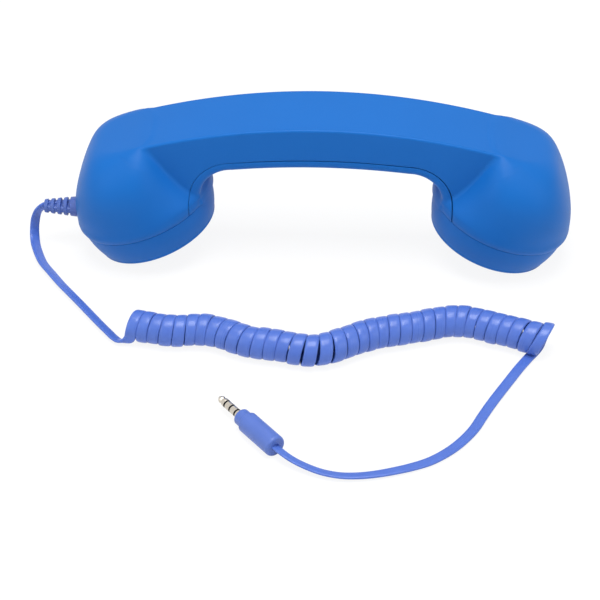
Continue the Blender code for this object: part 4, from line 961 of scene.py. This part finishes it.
def make_plug(grip_material, metal, insulator):
    """The plug: turned pieces along its axis, from the tip back to the cord."""
    turn = Matrix.Rotation(PLUG_HEADING, 4, "Z") @ Matrix.Rotation(math.radians(90), 4, "Y")
    place = Matrix.Translation((*PLUG_PLACE, GRIP_RADIUS)) @ turn
    rear = PLUG_LENGTH + 0.0060
    made = []

    def part(name, node, profile, material, closed=False):
        obj = turned(name, profile, place, material, "handset", 64, closed)
        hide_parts(node)
        made.append(obj)

    # The tip's stem runs back through all the others
    tip = rounded([
        (0.0001, rear), (0.0006, rear), (0.0006, TIP_LENGTH), (PLUG_RADIUS, TIP_LENGTH),
        (PLUG_RADIUS, 0.0036), (0.00118, 0.0030), (0.00158, 0.0021), (0.00150, 0.0015),
        (0.00060, 0.0001), (0.0001, 0.0),
    ], 0.00022)
    part("plug_tip_metal", "plug_tip", tip, metal)
    at = TIP_LENGTH
    for number in (1, 2, 3):
        edge, low, high = PLUG_RADIUS - 0.00002, at + 0.00003, at + BAND_LENGTH - 0.00003
        bore = 0.00063
        profile = [(bore, high), (edge, high), (edge, low), (bore, low)]
        part(f"plug_insulator_{number}", f"plug_band_{number}", profile, insulator, True)
        at += BAND_LENGTH
        # The last one is the sleeve, which goes on into the grip
        long = RING_LENGTH if number < 3 else rear - at
        bevelled, end = PLUG_RADIUS - PLUG_BEVEL, at + long
        ring = [(0.0009, end), (bevelled, end), (PLUG_RADIUS, end - PLUG_BEVEL)]
        ring += [(PLUG_RADIUS, at + PLUG_BEVEL), (bevelled, at), (0.0009, at)]
        name = f"plug_ring_{number}" if number < 3 else "plug_sleeve"
        part(f"{name}_metal", name, ring, metal, True)
        at += long
    back = PLUG_LENGTH + GRIP_COLLAR_LENGTH
    end = back + GRIP_BODY_LENGTH
    grip = [(0.0010, end - 0.0004), (0.0016, end)]
    grip += rounded([(0.0016, end), (GRIP_RADIUS, end), (GRIP_RADIUS, back + 0.004)], 0.0026, 10)[1:-1]
    front = [(GRIP_RADIUS, end - 0.006), (GRIP_RADIUS, back), (GRIP_COLLAR_RADIUS, back)]
    grip += rounded(front, 0.0010, 8)[1:-1]
    bore, bore_end = 0.00205, rear + 0.0003
    grip += rounded([
        (GRIP_COLLAR_RADIUS + 0.0006, back), (GRIP_COLLAR_RADIUS, back), (GRIP_COLLAR_RADIUS, PLUG_LENGTH),
        (bore, PLUG_LENGTH), (bore, bore_end), (0.0001, bore_end),
    ], 0.0009)[1:]
    part("plug_grip_moulding", "plug_grip", grip, grip_material)
    return made


def any_ray(tree, *kinds):
    """1 where a ray is of one of the kinds, such as Is Camera Ray, and else 0."""
    path = tree.nodes.new("ShaderNodeLightPath")
    found = path.outputs[kinds[0]]
    for kind in kinds[1:]:
        either = add(tree, "ShaderNodeMath", {"operation": "MAXIMUM"}, i0=found, i1=path.outputs[kind])
        found = either.outputs[0]
    return found


def make_set():
    """A pale floor, a white surround and soft lamps. Lamps and world light the handset plainly;
    what the eye, gloss and glass see of the world and the floor is white."""
    world = bpy.data.worlds.new("surround")
    bpy.context.scene.world = world
    world.use_nodes = True
    tree = world.node_tree
    tree.nodes.clear()
    out = tree.nodes.new("ShaderNodeOutputWorld")
    eye = any_ray(tree, "Is Camera Ray", "Is Glossy Ray", "Is Transmission Ray")
    lit = add(tree, "ShaderNodeBackground", Color=linear("#FFFFFF"), Strength=0.50)
    seen = add(tree, "ShaderNodeBackground", Color=linear("#FFFFFF"), Strength=1.0)
    mix = add(tree, "ShaderNodeMixShader", i0=eye, i1=lit.outputs[0], i2=seen.outputs[0])
    tree.links.new(mix.outputs[0], out.inputs[0])

    floor = bpy.data.materials.new("white_paper_sweep")
    floor.use_nodes = True
    tree = floor.node_tree
    tree.nodes.clear()
    out = tree.nodes.new("ShaderNodeOutputMaterial")
    eye = any_ray(tree, "Is Camera Ray", "Is Glossy Ray")
    # The rest is lit paper, which keeps the handset's shadow
    share = add(tree, "ShaderNodeMath", {"operation": "MULTIPLY"}, i0=eye, i1=0.86)
    paper = add(tree, "ShaderNodeBsdfDiffuse", Color=linear("#F4F4F4"))
    glow = add(tree, "ShaderNodeEmission", Color=linear("#FFFFFF"), Strength=1.03)
    mix = add(tree, "ShaderNodeMixShader", i0=share.outputs[0], i1=paper.outputs[0], i2=glow.outputs[0])
    tree.links.new(mix.outputs[0], out.inputs[0])
    mesh = bpy.data.meshes.new("floor")
    half = 6.0
    corners = [(-half, -half, 0), (half, -half, 0), (half, half, 0), (-half, half, 0)]
    mesh.from_pydata(corners, [], [(0, 1, 2, 3)])
    mesh.materials.append(floor)
    plane = bpy.data.objects.new("floor", mesh)
    # Just below the cord, so that nothing lies in the plane itself
    plane.location.z = -0.0002
    bpy.context.scene.collection.objects.link(plane)

    for name, place, size, power, aim in (
        ("overhead_softbox", (0.0, -0.15, 1.00), 0.6, 9.5, (0, -0.03, 0)),
        ("left_softbox", (-0.95, -0.55, 0.60), 0.7, 2.2, (0, 0, 0.03)),
        ("right_softbox", (0.95, -0.55, 0.60), 0.7, 2.2, (0, 0, 0.03)),
    ):
        lamp = bpy.data.lights.new(name, "AREA")
        lamp.size, lamp.energy = size, power
        obj = bpy.data.objects.new(name, lamp)
        obj.location = place
        way = np.array(place) - np.array(aim)
        z = way / np.linalg.norm(way)
        x = np.cross([0, 1, 0.001], z)
        x /= np.linalg.norm(x)
        y = np.cross(z, x)
        obj.rotation_euler = Matrix(np.column_stack([x, y, z]).tolist()).to_euler()
        bpy.context.scene.collection.objects.link(obj)
    bpy.context.scene.view_settings.view_transform = "Standard"


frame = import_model()
make_camera()

cord_pvc = extruded_pvc()
moulding = moulded_pvc()
nickel = nickel_on_brass()
black_insulator = plain_finish("moulded_black_insulator", "#050505", "#0B0B0B", 0.55, grain=0.0003, ior=1.3)
cord, cord_route, cord_length = make_cord(cord_pvc)
# The strain relief takes a darker copy of the moulded PVC: painted shade for the shade it lies in beside the
# cup
relief = make_relief(moulded_pvc("relief_pvc_painted_shade", "#3C579E", "#435FA8"))
plug_pieces = make_plug(moulding, nickel, black_insulator)

blue = soft_touch_abs()
make_body(blue)
make_cap("ear_cap_shell", "ear_cap", 1, ((0.0050, 6), (0.0100, 12), (0.0150, 18)), 0.0183, blue)
make_cap("mouth_cap_shell", "mouth_cap", -1, ((0.0032, 6),), 0.0076, blue)
make_call_button(soft_touch_abs("textured_button_abs", "#174C9A", "#1B529F"))

zinc_steel = plain_finish("zinc_plated_steel", "#B9BCC0", "#CDD0D3", 0.34, 1.0, grain=0.0006)
black_nylon = plain_finish("moulded_black_nylon", "#1B1B1D", "#262628", 0.48, grain=0.0003)
red_wire = plain_finish("red_pvc_insulation", "#A81E1C", "#B82724", 0.42, grain=0.0004)
black_wire = plain_finish("black_pvc_insulation", "#1A1A1C", "#242426", 0.42, grain=0.0004)
inner_finishes = {
    "ear_felt": plain_finish("pressed_wool_felt", "#0F0F10", "#1B1B1C", 0.92, grain=0.0008, depth=0.0003),
    "speaker_basket": zinc_steel,
    "speaker_diaphragm": plain_finish(
        "pressed_polyester_film", "#CFC7B4", "#DAD3C2", 0.24, grain=0.0010, depth=0.00002
    ),
    "speaker_magnet": plain_finish("ground_ferrite", "#2B2B2D", "#38383A", 0.60, grain=0.0003),
    "mic_boot": plain_finish("moulded_black_rubber", "#18181A", "#222224", 0.78, grain=0.0004),
    "mic_capsule": plain_finish("drawn_aluminium_can", "#C4C6C8", "#D4D6D8", 0.30, 1.0, grain=0.0005),
    "button_board": plain_finish("green_solder_mask", "#1C5A33", "#23683C", 0.36, grain=0.0012),
    "switch_body": black_nylon,
    "switch_plunger": black_nylon,
    "cable_tie": black_nylon,
    "inner_cord": moulding,
}
inner_finishes.update({f"shell_screw_{number}": zinc_steel for number in (1, 2, 3, 4)})
inner_finishes.update({f"board_screw_{number}": zinc_steel for number in (1, 2)})
for owner in ("speaker", "mic"):
    inner_finishes.update({f"{owner}_lead_1": red_wire, f"{owner}_lead_2": black_wire})
for node_name, finish in inner_finishes.items():
    slots = frame["nodes"][node_name].data.materials
    slots.clear()
    slots.append(finish)

make_set()
